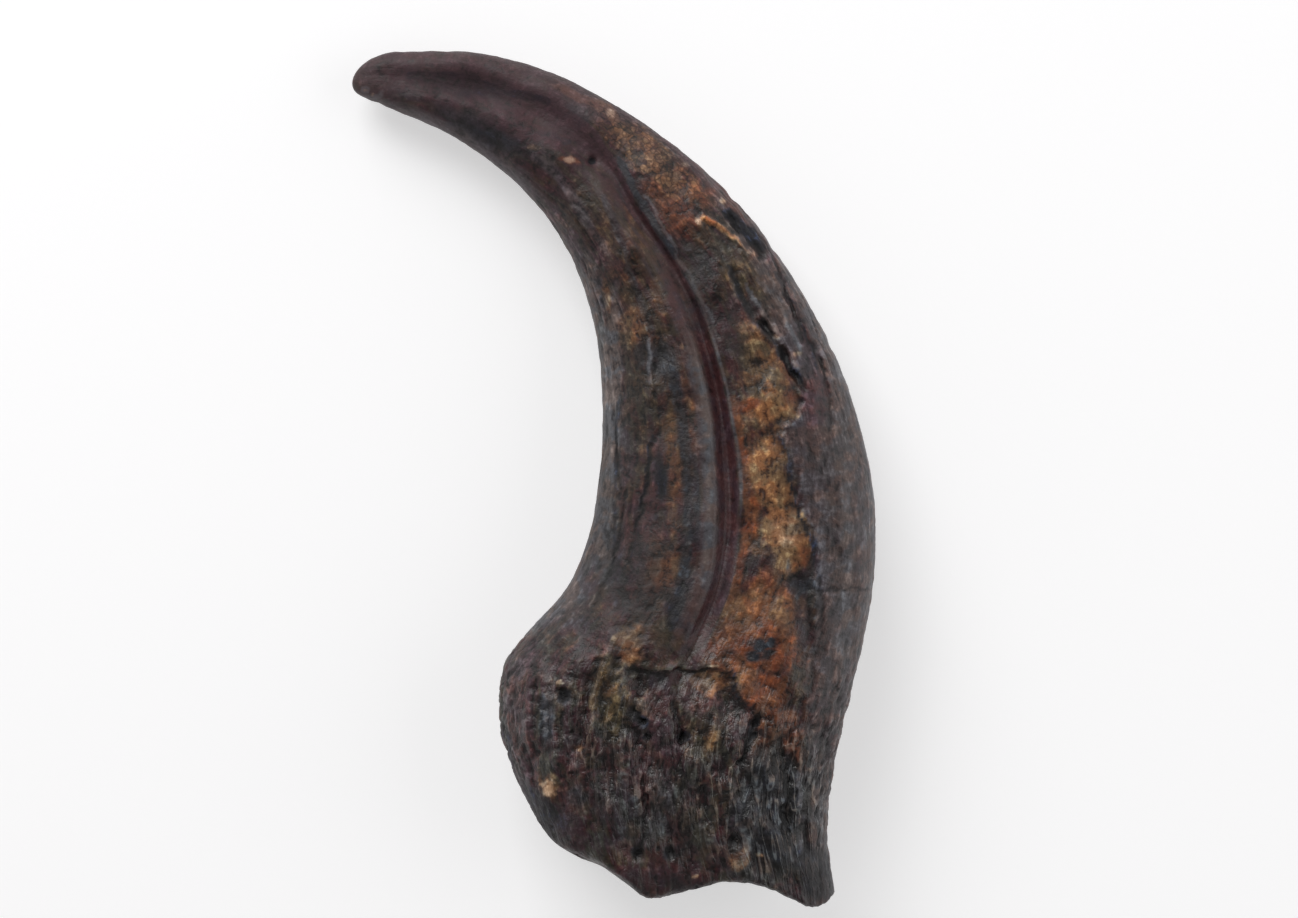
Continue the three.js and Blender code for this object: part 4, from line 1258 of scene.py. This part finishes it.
@dataclass
class Stains:
    """Where each tint lies, from 0 for none to 1 for full cover.

    Noise pushes every place about, so that all edges are ragged. It pushes patches up to
    loose_reach, and those narrower than loose_width by less.
    """

    lie: Lie
    loose_reach: float = 0.9
    loose_size: float = 2.8
    loose_width: float = 4.0
    strip_cover: float = 0.6
    step_cover: float = 0.6
    # How strongly painted sheen pales the palmar edge and the blade's outer edge.
    palmar_sheen: float = 0.7
    rim_sheen: float = 0.5
    fullest: float = 1.3
    strip_line: tuple[Point, ...] = (
        (-30.0, 53.0), (-22.0, 52.6), (-13.0, 50.2), (-4.0, 47.0), (3.5, 46.5), (11.0, 39.5),
        (16.0, 31.5), (19.5, 24.5), *DORSAL_STEP[1:], (25.2, -30.0), (25.4, -40.0), (25.0, -54.0),
    )

    def __post_init__(self) -> None:
        """Works out how places are pushed about, and the groove's bands."""
        lie = self.lie
        self.shift_x = self.loose_reach * fractal(lie.places(self.loose_size), Seed.LOOSE_X)
        self.shift_y = self.loose_reach * fractal(lie.places(self.loose_size), Seed.LOOSE_Y)
        self.frayed = ragged(lie.x, lie.y, np.sign(lie.side))
        self.bands = self.groove_bands()

    def strip(self) -> np.ndarray:
        """1 on the strip along the outer edge, where the skin is smooth and mauve."""
        distance, on_right, _ = from_line(self.lie.x, self.lie.y, self.strip_line)
        return smooth(np.where(on_right, -distance, distance), -0.4, 1.2)

    def step_shade(self) -> np.ndarray:
        """1 just inside the strip, beside its step, where the strip is darkest."""
        distance, on_right, _ = from_line(self.lie.x, self.lie.y, DORSAL_STEP)
        return np.where(on_right, 0, 1 - smooth(np.abs(distance - 1.2), 0.6, 2.8))

    def groove_bands(self) -> dict[Tint, np.ndarray]:
        """The groove's lip, floor and bank, as bands across it that fade where it is shallow.

        Returns:
            For each tint of the groove, how strongly it lies on each point.
        """
        lie = self.lie
        shape = GrooveShape.at(lie.place)
        open_share = smooth(lie.depth, 0.25, 0.9) * (1 - lie.face) * (lie.hold > 0)
        across = lie.groove + 0.3 * ripple(lie.straight(run=6.0, cross=2.0), Seed.GROOVE_EDGE)
        in_bend = smooth(lie.place, 8.6, 9.8)
        fall = shape.wall_to - 0.9 + 0.4 * in_bend
        lip = smooth(across, shape.lip - 1.6, shape.lip - 0.5)
        lip = lip * (1 - smooth(across, fall - 0.3, fall + 0.3)) * (1 - 0.3 * in_bend)
        streaks = smooth(ripple(lie.straight(run=5.0, cross=0.6), Seed.STREAKS), -0.5, 0.4)
        lip = lip * (1 - (0.3 + 0.4 * in_bend) * streaks) * (1 - 0.5 * smooth(lie.place, 11, 13))
        bank_top = np.minimum(shape.bank_to, 2.0)
        # The floor's maroon is partly its own colour, partly painted shade that stands in for a deeper
        # groove.
        floor = smooth(across, fall - 0.4, fall + 0.1)
        floor = floor * (1 - smooth(across, bank_top - 0.5, bank_top))
        bank = np.exp(-(((across - bank_top - 0.1) / 0.28) ** 2)) * smooth(lie.place, 5.5, 7.2)
        # A painted highlight along the lip's crest, laid together with the bank's pale line.
        crest_highlight = np.exp(-(((across - shape.lip - 0.1) / 0.75) ** 2))
        crest_highlight = crest_highlight * (1 - 0.7 * in_bend) * (1 - 0.3 * streaks)
        return {
            Tint.MAUVE: lip * open_share,
            Tint.BLOOM: (crest_highlight + 0.8 * bank) * open_share * smooth(lie.depth, 0.9, 1.2),
            Tint.MAROON: floor * open_share * (1 - 0.3 * in_bend),
            Tint.SLATE: 0.5 * floor * open_share * in_bend,
        }

    def edge_sheen(self) -> list[np.ndarray]:
        """Painted sheen that pales the palmar edge, unevenly, and the outer edge of the blade."""
        lie = self.lie
        uneven = np.clip(0.8 + 0.7 * ripple(lie.places(unit=7.0), Seed.BLOOM), 0.35, 1.15)
        palmar = self.palmar_sheen * uneven * smooth(-lie.edge, 0.66, 0.95) * (1 - lie.base)
        on_blade = smooth(lie.place, 2.5, 5) * (1 - smooth(lie.place, 10, 12))
        return [palmar, self.rim_sheen * smooth(lie.edge, 0.78, 0.98) * on_blade]

    def cover(self, tint: Tint) -> np.ndarray:
        """One tint all over the claw. Ochre, rust and olive leave the groove's floor clear.

        Args:
            tint: which one.

        Returns:
            The strongest of its patches, veins and bands at each point.
        """
        lie = self.lie
        laid = [np.zeros_like(lie.x)]
        for patch in PATCHES.get(tint, ()):
            loose = min(1.0, patch.width / self.loose_width)
            x, y = lie.x + loose * self.shift_x, lie.y + loose * self.shift_y
            laid.append(patch.cover(x, y, lie.side))
        laid += [vein.cover(*self.frayed, lie.side) for vein in VEINS.get(tint, ())]
        if tint in self.bands:
            laid.append(self.bands[tint])
        if tint is Tint.MAUVE:
            laid.append(self.strip_cover * self.strip())
        if tint is Tint.SLATE:
            laid.append(self.step_cover * self.step_shade())
        if tint is Tint.BLOOM:
            laid += self.edge_sheen()
        clear = 1.0
        if tint in (Tint.OCHRE, Tint.RUST, Tint.OLIVE):
            clear = 1 - np.clip(1.5 * (self.bands[Tint.MAROON] + self.bands[Tint.SLATE]), 0, 1)
        return np.clip(np.max(laid, axis=0) * clear, 0, self.fullest) * (1 - lie.face)


def closed_mesh(name: str, rings: np.ndarray, poles: np.ndarray) -> bpy.types.Mesh:
    """Joins a grid of rings and its two poles into one closed mesh.

    Args:
        name: the mesh's name.
        rings: places of the grid's points, one row to a ring, in metres.
        poles: the points that close the first and the last ring.

    Returns:
        The mesh, its faces pointing out, shaded smooth.
    """
    count = rings.shape[1]
    index = np.arange(rings.shape[0] * count).reshape(rings.shape[:2])
    right = np.roll(index, -1, axis=1)
    quads = np.stack([index[:-1], right[:-1], right[1:], index[1:]], -1).reshape(-1, 4)
    start, end = index.size, index.size + 1
    first = np.stack([np.full(count, start), right[0], index[0]], -1)
    last = np.stack([index[-1], right[-1], np.full(count, end)], -1)
    mesh = bpy.data.meshes.new(name)
    points = np.concatenate([rings.reshape(-1, 3), poles])
    mesh.from_pydata(points, [], [*quads.tolist(), *first.tolist(), *last.tolist()])
    mesh.shade_smooth()
    return mesh


@dataclass(frozen=True)
class Pose:
    """How the median plane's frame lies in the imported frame: a turn, then a shift."""

    turn: np.ndarray
    shift: np.ndarray

    @classmethod
    def at_rest(cls, surface: ClawSurface, points: np.ndarray) -> "Pose":
        """Leans the claw about X and then Y and sets it where its CAD solid lies.

        Args:
            surface: the claw's sizes.
            points: its surface, in the median plane's frame.

        Returns:
            The pose, in millimetres.
        """
        a, b = math.radians(surface.lean_about_x), math.radians(surface.lean_about_y)
        about_x = np.array([[1, 0, 0], [0, math.cos(a), -math.sin(a)], [0, math.sin(a), math.cos(a)]])
        about_y = np.array([[math.cos(b), 0, math.sin(b)], [0, 1, 0], [-math.sin(b), 0, math.cos(b)]])
        turn = about_y @ about_x
        leaned = points.reshape(-1, 3) @ turn.T
        low, high = leaned.min(0), leaned.max(0)
        box_low, box_high = (np.array(corner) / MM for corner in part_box("claw"))
        shift = (box_low + box_high) / 2 - (low + high) / 2
        shift[2] = box_low[2] - low[2] - surface.wear
        return cls(turn, shift)

    def place(self, points: np.ndarray) -> np.ndarray:
        """Points of the median plane's frame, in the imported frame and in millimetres."""
        return points @ self.turn.T + self.shift


Wire = Union[float, int, str, tuple, "Signal", bpy.types.NodeSocket]


class Signal:
    """A number that varies over the surface: a socket that takes the signs of arithmetic."""

    def __init__(self, shader: "Shader", socket: bpy.types.NodeSocket) -> None:
        """Wraps a socket of the shader's tree."""
        self.shader = shader
        self.socket = socket

    def _math(self, operation: str, first: Wire, second: Wire, clamp: bool = False) -> "Signal":
        """Adds one Math node."""
        settings = {"operation": operation, "use_clamp": clamp}
        node = self.shader.node("ShaderNodeMath", settings, {0: first, 1: second})
        return Signal(self.shader, node.outputs[0])

    def __add__(self, other: Wire) -> "Signal":
        """self + other."""
        return self._math("ADD", self, other)

    def __sub__(self, other: Wire) -> "Signal":
        """self - other."""
        return self._math("SUBTRACT", self, other)

    def __rsub__(self, other: Wire) -> "Signal":
        """other - self."""
        return self._math("SUBTRACT", other, self)

    def __mul__(self, other: Wire) -> "Signal":
        """self * other."""
        return self._math("MULTIPLY", self, other)

    __radd__ = __add__
    __rmul__ = __mul__

    def held(self) -> "Signal":
        """Kept from 0 to 1."""
        return self._math("ADD", self, 0.0, clamp=True)

    def step(self, low: float, high: float) -> "Signal":
        """Rises smoothly from 0 at low to 1 at high."""
        settings = {"interpolation_type": "SMOOTHSTEP"}
        node = self.shader.node("ShaderNodeMapRange", settings, {0: self, 1: low, 2: high})
        return Signal(self.shader, node.outputs[0])


class Shader:
    """A tree of shader nodes, of a material or of the sky."""

    def __init__(self, owner: Union[bpy.types.Material, bpy.types.World], output: str) -> None:
        """Empties the owner's tree and gives it its output node."""
        owner.use_nodes = True
        self.owner = owner
        self.tree = owner.node_tree
        self.tree.nodes.clear()
        self.output = self.tree.nodes.new(output)

    @classmethod
    def of_material(cls, name: str) -> "Shader":
        """Starts a new material."""
        return cls(bpy.data.materials.new(name), "ShaderNodeOutputMaterial")

    def finished(self, surface: bpy.types.Node) -> Any:
        """Links the last node to the output and returns the owner."""
        self.tree.links.new(surface.outputs[0], self.output.inputs[0])
        return self.owner

    def node(
        self, kind: str, settings: dict[str, Any], values: dict[Union[str, int], Wire],
    ) -> bpy.types.Node:
        """Adds a node, sets it up and fills its sockets.

        Args:
            kind: the node's type.
            settings: its own properties, which are set first.
            values: for each input, by name or number, a value or what it is linked to.

        Returns:
            The new node.
        """
        node = self.tree.nodes.new(kind)
        for key, value in settings.items():
            setattr(node, key, value)
        for key, value in values.items():
            if isinstance(value, Signal):
                value = value.socket
            if isinstance(value, bpy.types.NodeSocket):
                self.tree.links.new(value, node.inputs[key])
            else:
                node.inputs[key].default_value = value
        return node

    def attribute(self, name: str) -> Signal:
        """A number stored on the mesh."""
        return Signal(self, self.node("ShaderNodeAttribute", {"attribute_name": name}, {}).outputs["Fac"])

    def attribute_vector(self, name: str) -> bpy.types.NodeSocket:
        """A vector stored on the mesh."""
        return self.node("ShaderNodeAttribute", {"attribute_name": name}, {}).outputs["Vector"]

    def times(self, vector: Wire, by: Wire) -> bpy.types.NodeSocket:
        """A vector or a colour multiplied by another, part by part."""
        return self.node("ShaderNodeVectorMath", {"operation": "MULTIPLY"}, {0: vector, 1: by}).outputs[0]

    def shaded(self, colour: Wire, by: Wire) -> bpy.types.NodeSocket:
        """A colour multiplied by a number."""
        return self.node("ShaderNodeVectorMath", {"operation": "SCALE"}, {0: colour, 3: by}).outputs[0]

    def noise(
        self, place: Wire, scale: Vector3, detail: float = 2.0, rough: float = 0.5, bend: float = 0.0,
    ) -> Signal:
        """The renderer's own noise at a place.

        Args:
            place: the vector that it is read at.
            scale: how many of its features there are in each unit of the vector's three parts.
            detail: how many finer noises are added.
            rough: how strong each of these is, next to the one before.
            bend: how far it is distorted.

        Returns:
            The noise, about 0.2 to 0.8, with mean 0.5.
        """
        values = {"Vector": self.times(place, scale), "Scale": 1.0}
        values |= {"Detail": detail, "Roughness": rough, "Distortion": bend}
        return Signal(self, self.node("ShaderNodeTexNoise", {}, values).outputs[0])

    def plates(self, place: Wire, scale: Vector3) -> tuple[Signal, Signal]:
        """Cells: each cell's own number from 0 to 1, and the distance to its border."""
        values = {"Vector": self.times(place, scale), "Scale": 1.0}
        cell = self.node("ShaderNodeTexVoronoi", {"feature": "F1"}, values).outputs["Color"]
        own = self.node("ShaderNodeSeparateColor", {}, {0: cell}).outputs[0]
        border = self.node("ShaderNodeTexVoronoi", {"feature": "DISTANCE_TO_EDGE"}, values).outputs[0]
        return Signal(self, own), Signal(self, border)

    def mix(self, first: Wire, second: Wire, share: Wire) -> bpy.types.NodeSocket:
        """Blends two colours, the Mix node's sockets 6 and 7, by the second one's share."""
        settings = {"data_type": "RGBA", "clamp_factor": True}
        return self.node("ShaderNodeMix", settings, {0: share, 6: first, 7: second}).outputs[2]


def screen(red: int, green: int, blue: int) -> Colour:
    """A colour as a screen shows it, 0 to 255, as the linear light that shaders work in."""
    levels = (value / 255 for value in (red, green, blue))
    light = (v / 12.92 if v <= 0.04045 else ((v + 0.055) / 1.055) ** 2.4 for v in levels)
    return (*light, 1.0)


def even(scale: float) -> Vector3:
    """The same scale in all three directions."""
    return scale, scale, scale


@dataclass(frozen=True)
class Stone:
    """One tint's three tones: between its grains, over most of it, and on its brightest grains."""

    deep: Colour
    body: Colour
    light: Colour

    def tones(self) -> tuple[Colour, Colour, Colour]:
        """All three, from dark to light."""
        return self.deep, self.body, self.light


class Skin:
    """What the stone's finish is worked out from: what the mesh stores, and noises over it.

    Fibre, streak, hue and braid are drawn out along the claw, in the straightened places. The
    other noises are the same in every direction. A ridge runs where braid passes through its mean.
    """

    ridge_sharpness: float = 260.0

    def __init__(self, shader: Shader) -> None:
        """Adds the nodes to the shader."""
        self.shader = shader
        self.proud = shader.attribute("proud")
        self.rough = shader.attribute("rough")
        self.fibrous = shader.attribute("fibrous")
        self.crazed = shader.attribute("crazed")
        self.sleek = shader.attribute("sleek")
        self.fan = shader.attribute("fan")
        self.matt = shader.attribute("matt")
        self.tipward = shader.attribute("tipward")

        grain = shader.attribute_vector("grain")
        metres = shader.node("ShaderNodeTexCoord", {}, {}).outputs["Object"]
        place = shader.times(metres, even(1 / MM))
        self.fibre = shader.noise(grain, (0.2, 1.3, 1.3), rough=0.55)
        self.streak = shader.noise(grain, (0.6, 2.4, 2.4), detail=1)
        self.hue = shader.noise(grain, (0.3, 0.6, 0.6), rough=0.6, bend=0.6)
        self.blotch = shader.noise(place, even(0.42), rough=0.55, bend=0.5)
        self.mottle = shader.noise(place, even(0.85), rough=0.6, bend=0.4)
        self.speck = shader.noise(place, even(2.0), rough=0.55)
        self.drift = shader.noise(place, even(0.16), detail=3, rough=0.6, bend=1.0)
        self.cast = shader.noise(place, even(0.38), rough=0.6)
        self.plates, self.gaps = shader.plates(place, even(1.2))
        braid = shader.noise(grain, (0.16, 1.0, 1.0), detail=1, bend=0.4) - 0.5
        self.ridge = (1 - braid * braid * self.ridge_sharpness).held() * self.fan


@dataclass(frozen=True)
class FossilBone:
    """Petrified bone: dark violet-brown stone with ochre and rust stains and a satin sheen."""

    stone: Stone = Stone(screen(8, 3, 4), screen(45, 26, 27), screen(87, 65, 63))
    brown: Stone = Stone(screen(19, 10, 5), screen(60, 39, 25), screen(106, 78, 54))
    olive: Stone = Stone(screen(17, 14, 9), screen(49, 43, 32), screen(92, 85, 68))
    wine: Stone = Stone(screen(22, 4, 9), screen(56, 22, 30), screen(94, 56, 64))
    # The pale grey of painted highlights on proud places and ridges.
    crest_highlight: Stone = Stone(screen(25, 22, 24), screen(60, 57, 56), screen(101, 99, 94))
    stains: tuple[tuple[Tint, Stone], ...] = (
        (Tint.OLIVE, Stone(screen(24, 19, 9), screen(58, 50, 33), screen(114, 99, 72))),
        (Tint.OCHRE, Stone(screen(70, 43, 24), screen(130, 93, 60), screen(196, 156, 108))),
        (Tint.RUST, Stone(screen(56, 25, 13), screen(104, 58, 33), screen(154, 92, 54))),
        (Tint.SLATE, Stone(screen(7, 8, 12), screen(34, 36, 42), screen(80, 85, 92))),
        (Tint.MAUVE, Stone(screen(37, 27, 29), screen(66, 52, 53), screen(104, 90, 90))),
        # The grey of painted sheen and highlights, and of a few pale lines of the stone.
        (Tint.BLOOM, Stone(screen(46, 42, 44), screen(83, 78, 79), screen(121, 117, 118))),
        (Tint.MAROON, Stone(screen(30, 14, 17), screen(62, 38, 42), screen(98, 70, 74))),
        (Tint.CHAR, Stone(screen(3, 3, 7), screen(14, 14, 24), screen(46, 52, 72))),
        (Tint.PALE, Stone(screen(100, 82, 64), screen(156, 134, 110), screen(218, 200, 174))),
    )
    soft_edged: tuple[Tint, ...] = (Tint.MAUVE, Tint.BLOOM)
    cool: Colour = (0.88, 1.0, 1.1, 1.0)
    warm: Colour = (1.16, 0.97, 0.86, 1.0)
    violet: Colour = (1.0, 0.87, 0.98, 1.0)
    roughness: float = 0.46
    sheen_level: float = 0.5
    bump_strength: float = 0.9
    bump_distance: float = 0.4 * MM

    def tones(self, skin: Skin) -> list[Wire]:
        """The stone's deep, body and light tones, with every stain blended in.

        Broad noise turns the plain stone browner, greener or redder. Proud places and the base's ridges get
        a pale grey, a painted highlight. The mesh's stains blend their own tones in, with edges broken up
        by fine noise.

        Args:
            skin: the mesh's attributes and the noises.

        Returns:
            The three tones.
        """
        shader, rough = skin.shader, skin.rough
        grit = (skin.speck - 0.5) * 0.1 + (skin.mottle - 0.5) * 0.7
        grit = grit + (skin.blotch - 0.5) * 1.2 + (skin.streak - 0.5) * 0.4
        blends = [
            (self.brown, (skin.drift + skin.hue * 0.4).step(0.6, 0.86) * (0.8 - rough * 0.45)),
            (self.olive, skin.hue.step(0.5, 0.61) * (0.5 + rough * 0.45)),
            (self.wine, (1 - skin.hue).step(0.5, 0.61) * (0.55 + rough * 0.1)),
            # Painted highlight on proud places, stronger on the base.
            (self.crest_highlight, skin.proud.step(0.1, 1.0) * (0.1 + rough * 0.35)),
        ]
        for tint, stone in self.stains:
            laid = shader.attribute(tint.value)
            edge = laid + grit * (0.25 + laid * (0.2 if tint in self.soft_edged else 0.7))
            if tint is Tint.OCHRE:
                edge = edge + skin.crazed * (skin.plates - 0.45) * 0.5
            blends.append((stone, edge.step(0.0, 1.0) * laid.step(0.0, 0.25)))
        # Painted highlight along the base's ridges.
        blends.append((self.crest_highlight, skin.ridge * 0.7))
        tones: list[Wire] = list(self.stone.tones())
        for stone, share in blends:
            tones = [shader.mix(before, after, share) for before, after in zip(tones, stone.tones())]
        return tones

    def colour(self, skin: Skin) -> bpy.types.NodeSocket:
        """The stone's colour: one noise picks between its tones, and broad noise warms or cools it.

        Args:
            skin: the mesh's attributes and the noises.

        Returns:
            The colour, darker in hollows and lighter on proud places: painted shade and painted highlight.
        """
        shader, rough = skin.shader, skin.rough
        lines = (skin.fibre - 0.5) * (0.5 + skin.fibrous * 1.3)
        lines = lines + (skin.streak - 0.5) * (0.4 + skin.fibrous * 0.8)
        grains = lines * (1 - skin.matt * 0.6) + (skin.mottle - 0.5) * 1.2
        grains = grains + (skin.speck - 0.5) * (0.8 + rough * 0.1) + (skin.blotch - 0.5) * 0.8
        # The base's ridges get a painted highlight; the fanned base is darker all over.
        grains = grains * (1 - skin.sleek * 0.3) + skin.ridge * 0.55 - skin.fan * 0.26
        # Lighter on proud places and darker in hollows: painted highlight and painted shade.
        tone = 0.5 - rough * 0.03 + grains + skin.proud * 0.22
        tone = tone + skin.crazed * (skin.gaps.step(0.0, 0.16) - 0.7) * 0.3
        # Darker where SHADE lies: partly the stone's own tone, partly painted shade.
        tone = tone - shader.attribute(Tint.SHADE.value) * 0.15
        deep, body, light = self.tones(skin)
        colour = shader.mix(deep, body, tone.step(0.05, 0.5))
        colour = shader.mix(colour, light, tone.step(0.5, 1.05))
        cast = shader.mix(self.cool, self.warm, skin.cast.step(0.41, 0.59))
        colour = shader.times(colour, shader.mix(cast, self.violet, skin.tipward * 0.8))
        # Painted shade in hollows and painted highlight on proud places.
        return shader.shaded(colour, 1.0 + skin.proud * 0.4)

    def dullness(self, skin: Skin) -> Signal:
        """Roughness: most in hollows, on charred stone and where the skin is matt."""
        dull = skin.shader.attribute(Tint.CHAR.value) * 0.2 + skin.matt * 0.16 - skin.rough * 0.04
        return (self.roughness + (skin.mottle - 0.5) * 0.3 - skin.proud * 0.06 + dull).held()

    def bump(self, skin: Skin) -> bpy.types.NodeSocket:
        """The normal of the finest grain, which is highest on the base and faint where worn."""
        drawn = (skin.fibre * 0.4 + skin.streak * 0.25) * (1 - skin.matt * 0.6)
        height = drawn + skin.speck * (0.35 - skin.rough * 0.15) + skin.mottle * 0.55
        height = height * (0.5 + skin.rough * 0.8) * (1 - skin.sleek * 0.35) + skin.ridge * 0.45
        values = {"Strength": self.bump_strength, "Distance": self.bump_distance, "Height": height}
        return skin.shader.node("ShaderNodeBump", {}, values).outputs[0]

    def material(self) -> bpy.types.Material:
        """Builds the stone."""
        shader = Shader.of_material("petrified_bone")
        skin = Skin(shader)
        values = {
            "Base Color": self.colour(skin),
            "Roughness": self.dullness(skin),
            "Specular IOR Level": self.sheen_level,
            "Normal": self.bump(skin),
        }
        return shader.finished(shader.node("ShaderNodeBsdfPrincipled", {}, values))


def placed(name: str, data: Any) -> bpy.types.Object:
    """A new object at the origin, in the scene."""
    thing = bpy.data.objects.new(name, data)
    bpy.context.scene.collection.objects.link(thing)
    return thing


@dataclass(frozen=True)
class Table:
    """The plain pale surface that the claw lies on, lit a little from within as a light table is."""

    half_side: float = 1.5
    drop: float = 0.0001
    colour: Colour = screen(212, 212, 213)
    glow: Colour = screen(255, 255, 255)
    glow_strength: float = 0.5
    roughness: float = 0.9
    sheen_level: float = 0.2

    def build(self) -> bpy.types.Object:
        """A flat sheet a hair below the claw, with a matt finish."""
        shader = Shader.of_material("table")
        values = {
            "Base Color": self.colour,
            "Roughness": self.roughness,
            "Specular IOR Level": self.sheen_level,
            "Emission Color": self.glow,
            "Emission Strength": self.glow_strength,
        }
        finish = shader.finished(shader.node("ShaderNodeBsdfPrincipled", {}, values))
        square = ((-1, -1), (1, -1), (1, 1), (-1, 1))
        corners = [(x * self.half_side, y * self.half_side, -self.drop) for x, y in square]
        mesh = bpy.data.meshes.new("table")
        mesh.from_pydata(corners, [], [(0, 1, 2, 3)])
        mesh.materials.append(finish)
        table = placed("table", mesh)
        return table


@dataclass(frozen=True)
class Lamp:
    """A soft square lamp that shines at the claw."""

    name: str
    at: Vector3
    size: float
    power: float

    def build(self) -> bpy.types.Object:
        """An area light turned towards the middle of the claw."""
        light = bpy.data.lights.new(self.name, "AREA")
        light.shape = "SQUARE"
        light.size = self.size
        light.energy = self.power
        lamp = placed(self.name, light)
        lamp.location = self.at
        lamp.rotation_euler = (-Vector(self.at)).to_track_quat("-Z", "Y").to_euler()
        return lamp


@dataclass(frozen=True)
class Studio:
    """Soft light from all round, stronger from beside the tip, and the camera."""

    lamps: tuple[Lamp, ...] = (
        Lamp("key", (-0.3, 0.65, 0.5), 0.55, 5.2),
        Lamp("fill", (0.75, 0.1, 0.4), 0.8, 1.9),
    )
    sky: Colour = screen(232, 230, 230)
    sky_overhead: float = 0.027
    sky_level: float = 0.64
    lens: float = 90.0
    sensor: float = 36.0
    near_clip: float = 0.01
    frame_pixels: int = 1298
    mm_per_pixel: float = 0.135
    looks_at: Point = (4.66, 2.16)

    def build_light(self) -> None:
        """Lamps, and a sky that is bright all round and dim overhead, as in a white tent."""
        for lamp in self.lamps:
            lamp.build()
        shader = Shader(bpy.data.worlds.new("sky"), "ShaderNodeOutputWorld")
        direction = shader.node("ShaderNodeTexCoord", {}, {}).outputs["Generated"]
        height = Signal(shader, shader.node("ShaderNodeSeparateXYZ", {}, {0: direction}).outputs[2])
        strength = self.sky_level - (height * height) * (self.sky_level - self.sky_overhead)
        values = {"Color": self.sky, "Strength": strength}
        bpy.context.scene.world = shader.finished(shader.node("ShaderNodeBackground", {}, values))
        bpy.context.scene.view_settings.view_transform = "Standard"

    def build_camera(self, pose: Pose) -> None:
        """A camera square to the median plane, so far off that its frame spans the photo's width.

        Args:
            pose: how the claw lies.
        """
        width = self.frame_pixels * self.mm_per_pixel
        distance = width * self.lens / self.sensor
        place = pose.place(np.array([*self.looks_at, distance])) * MM
        data = bpy.data.cameras.new("camera")
        data.lens = self.lens
        data.sensor_width = self.sensor
        data.clip_start = self.near_clip
        camera = placed("camera", data)
        camera.matrix_world = Matrix.Translation(place.tolist()) @ Matrix(pose.turn.tolist()).to_4x4()
        bpy.context.scene.camera = camera


@dataclass
class Claw:
    """The fossil: its surface, its fine grain, its stains and its finish."""

    surface: ClawSurface
    finish: FossilBone
    blur_rounds: int = 12
    proud_height: float = 0.2

    def build(self) -> tuple[bpy.types.Object, Pose]:
        """Makes the claw in place of its CAD solid.

        Returns:
            The claw, and how its median plane lies.
        """
        lie = self.surface.grid()
        points = lie.places(1.0)
        pose = Pose.at_rest(self.surface, points)
        grain = Grain(lie)
        relief = grain.relief()
        rings = pose.place(points + outward(points) * (relief + grain.chips())[..., None])
        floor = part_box("claw")[0].z / MM
        rings[..., 2] = np.maximum(rings[..., 2], floor)
        poles = np.stack([rings[0].mean(0), pose.place(np.array([*TIP, 0.0]))])
        mesh = closed_mesh("claw_stone", rings * MM, poles * MM)
        self.store(mesh, lie, grain, relief)
        mesh.materials.append(self.finish.material())
        claw = placed("claw_stone", mesh)
        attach(claw, "root")
        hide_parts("claw")
        return claw, pose

    def store(self, mesh: bpy.types.Mesh, lie: Lie, grain: Grain, relief: np.ndarray) -> None:
        """Stores what the finish reads: the straightened places, how proud each point is, the stains.

        Args:
            mesh: the claw's mesh.
            lie: its grid.
            grain: its fine relief.
            relief: the fine relief's height.
        """
        height = relief + lie.hold * self.surface.marks(lie.x, lie.y, np.sign(lie.side)) * (1 - lie.face)
        stains = Stains(lie)
        fibrous = grain.fibrous(stains.strip())
        layers = {
            "proud": np.clip((height - blurred(height, self.blur_rounds)) / self.proud_height, -1, 1),
            "rough": lie.base,
            "fibrous": fibrous,
            "crazed": grain.crazed(),
            "fan": grain.fan(),
            "sleek": grain.sleek(),
            "matt": grain.matt(fibrous),
            "tipward": smooth(lie.place, 10, 14),
        }
        layers |= {tint.value: stains.cover(tint) for tint in Tint}
        layer = mesh.attributes.new("grain", "FLOAT_VECTOR", "POINT")
        layer.data.foreach_set("vector", self.with_poles(lie.straight(1.0, 1.0)).ravel())
        for name, values in layers.items():
            layer = mesh.attributes.new(name, "FLOAT", "POINT")
            layer.data.foreach_set("value", self.with_poles(values[..., None]).ravel())

    @staticmethod
    def with_poles(values: np.ndarray) -> np.ndarray:
        """Values of the grid's points, followed by those of its two poles."""
        flat = values.reshape(-1, values.shape[-1])
        return np.concatenate([flat, values[0].mean(0)[None], values[-1].mean(0)[None]])


def main() -> None:
    """Builds the claw, the table, the light and the camera."""
    claw, pose = Claw(ClawSurface(), FossilBone()).build()
    log.info("%s: %d faces on body root", claw.name, len(claw.data.polygons))
    table = Table().build()
    log.info("%s: stage", table.name)
    studio = Studio()
    studio.build_light()
    studio.build_camera(pose)


if __name__ == "__main__":
    logging.basicConfig(level=logging.INFO, format="%(name)s: %(message)s")
    main()
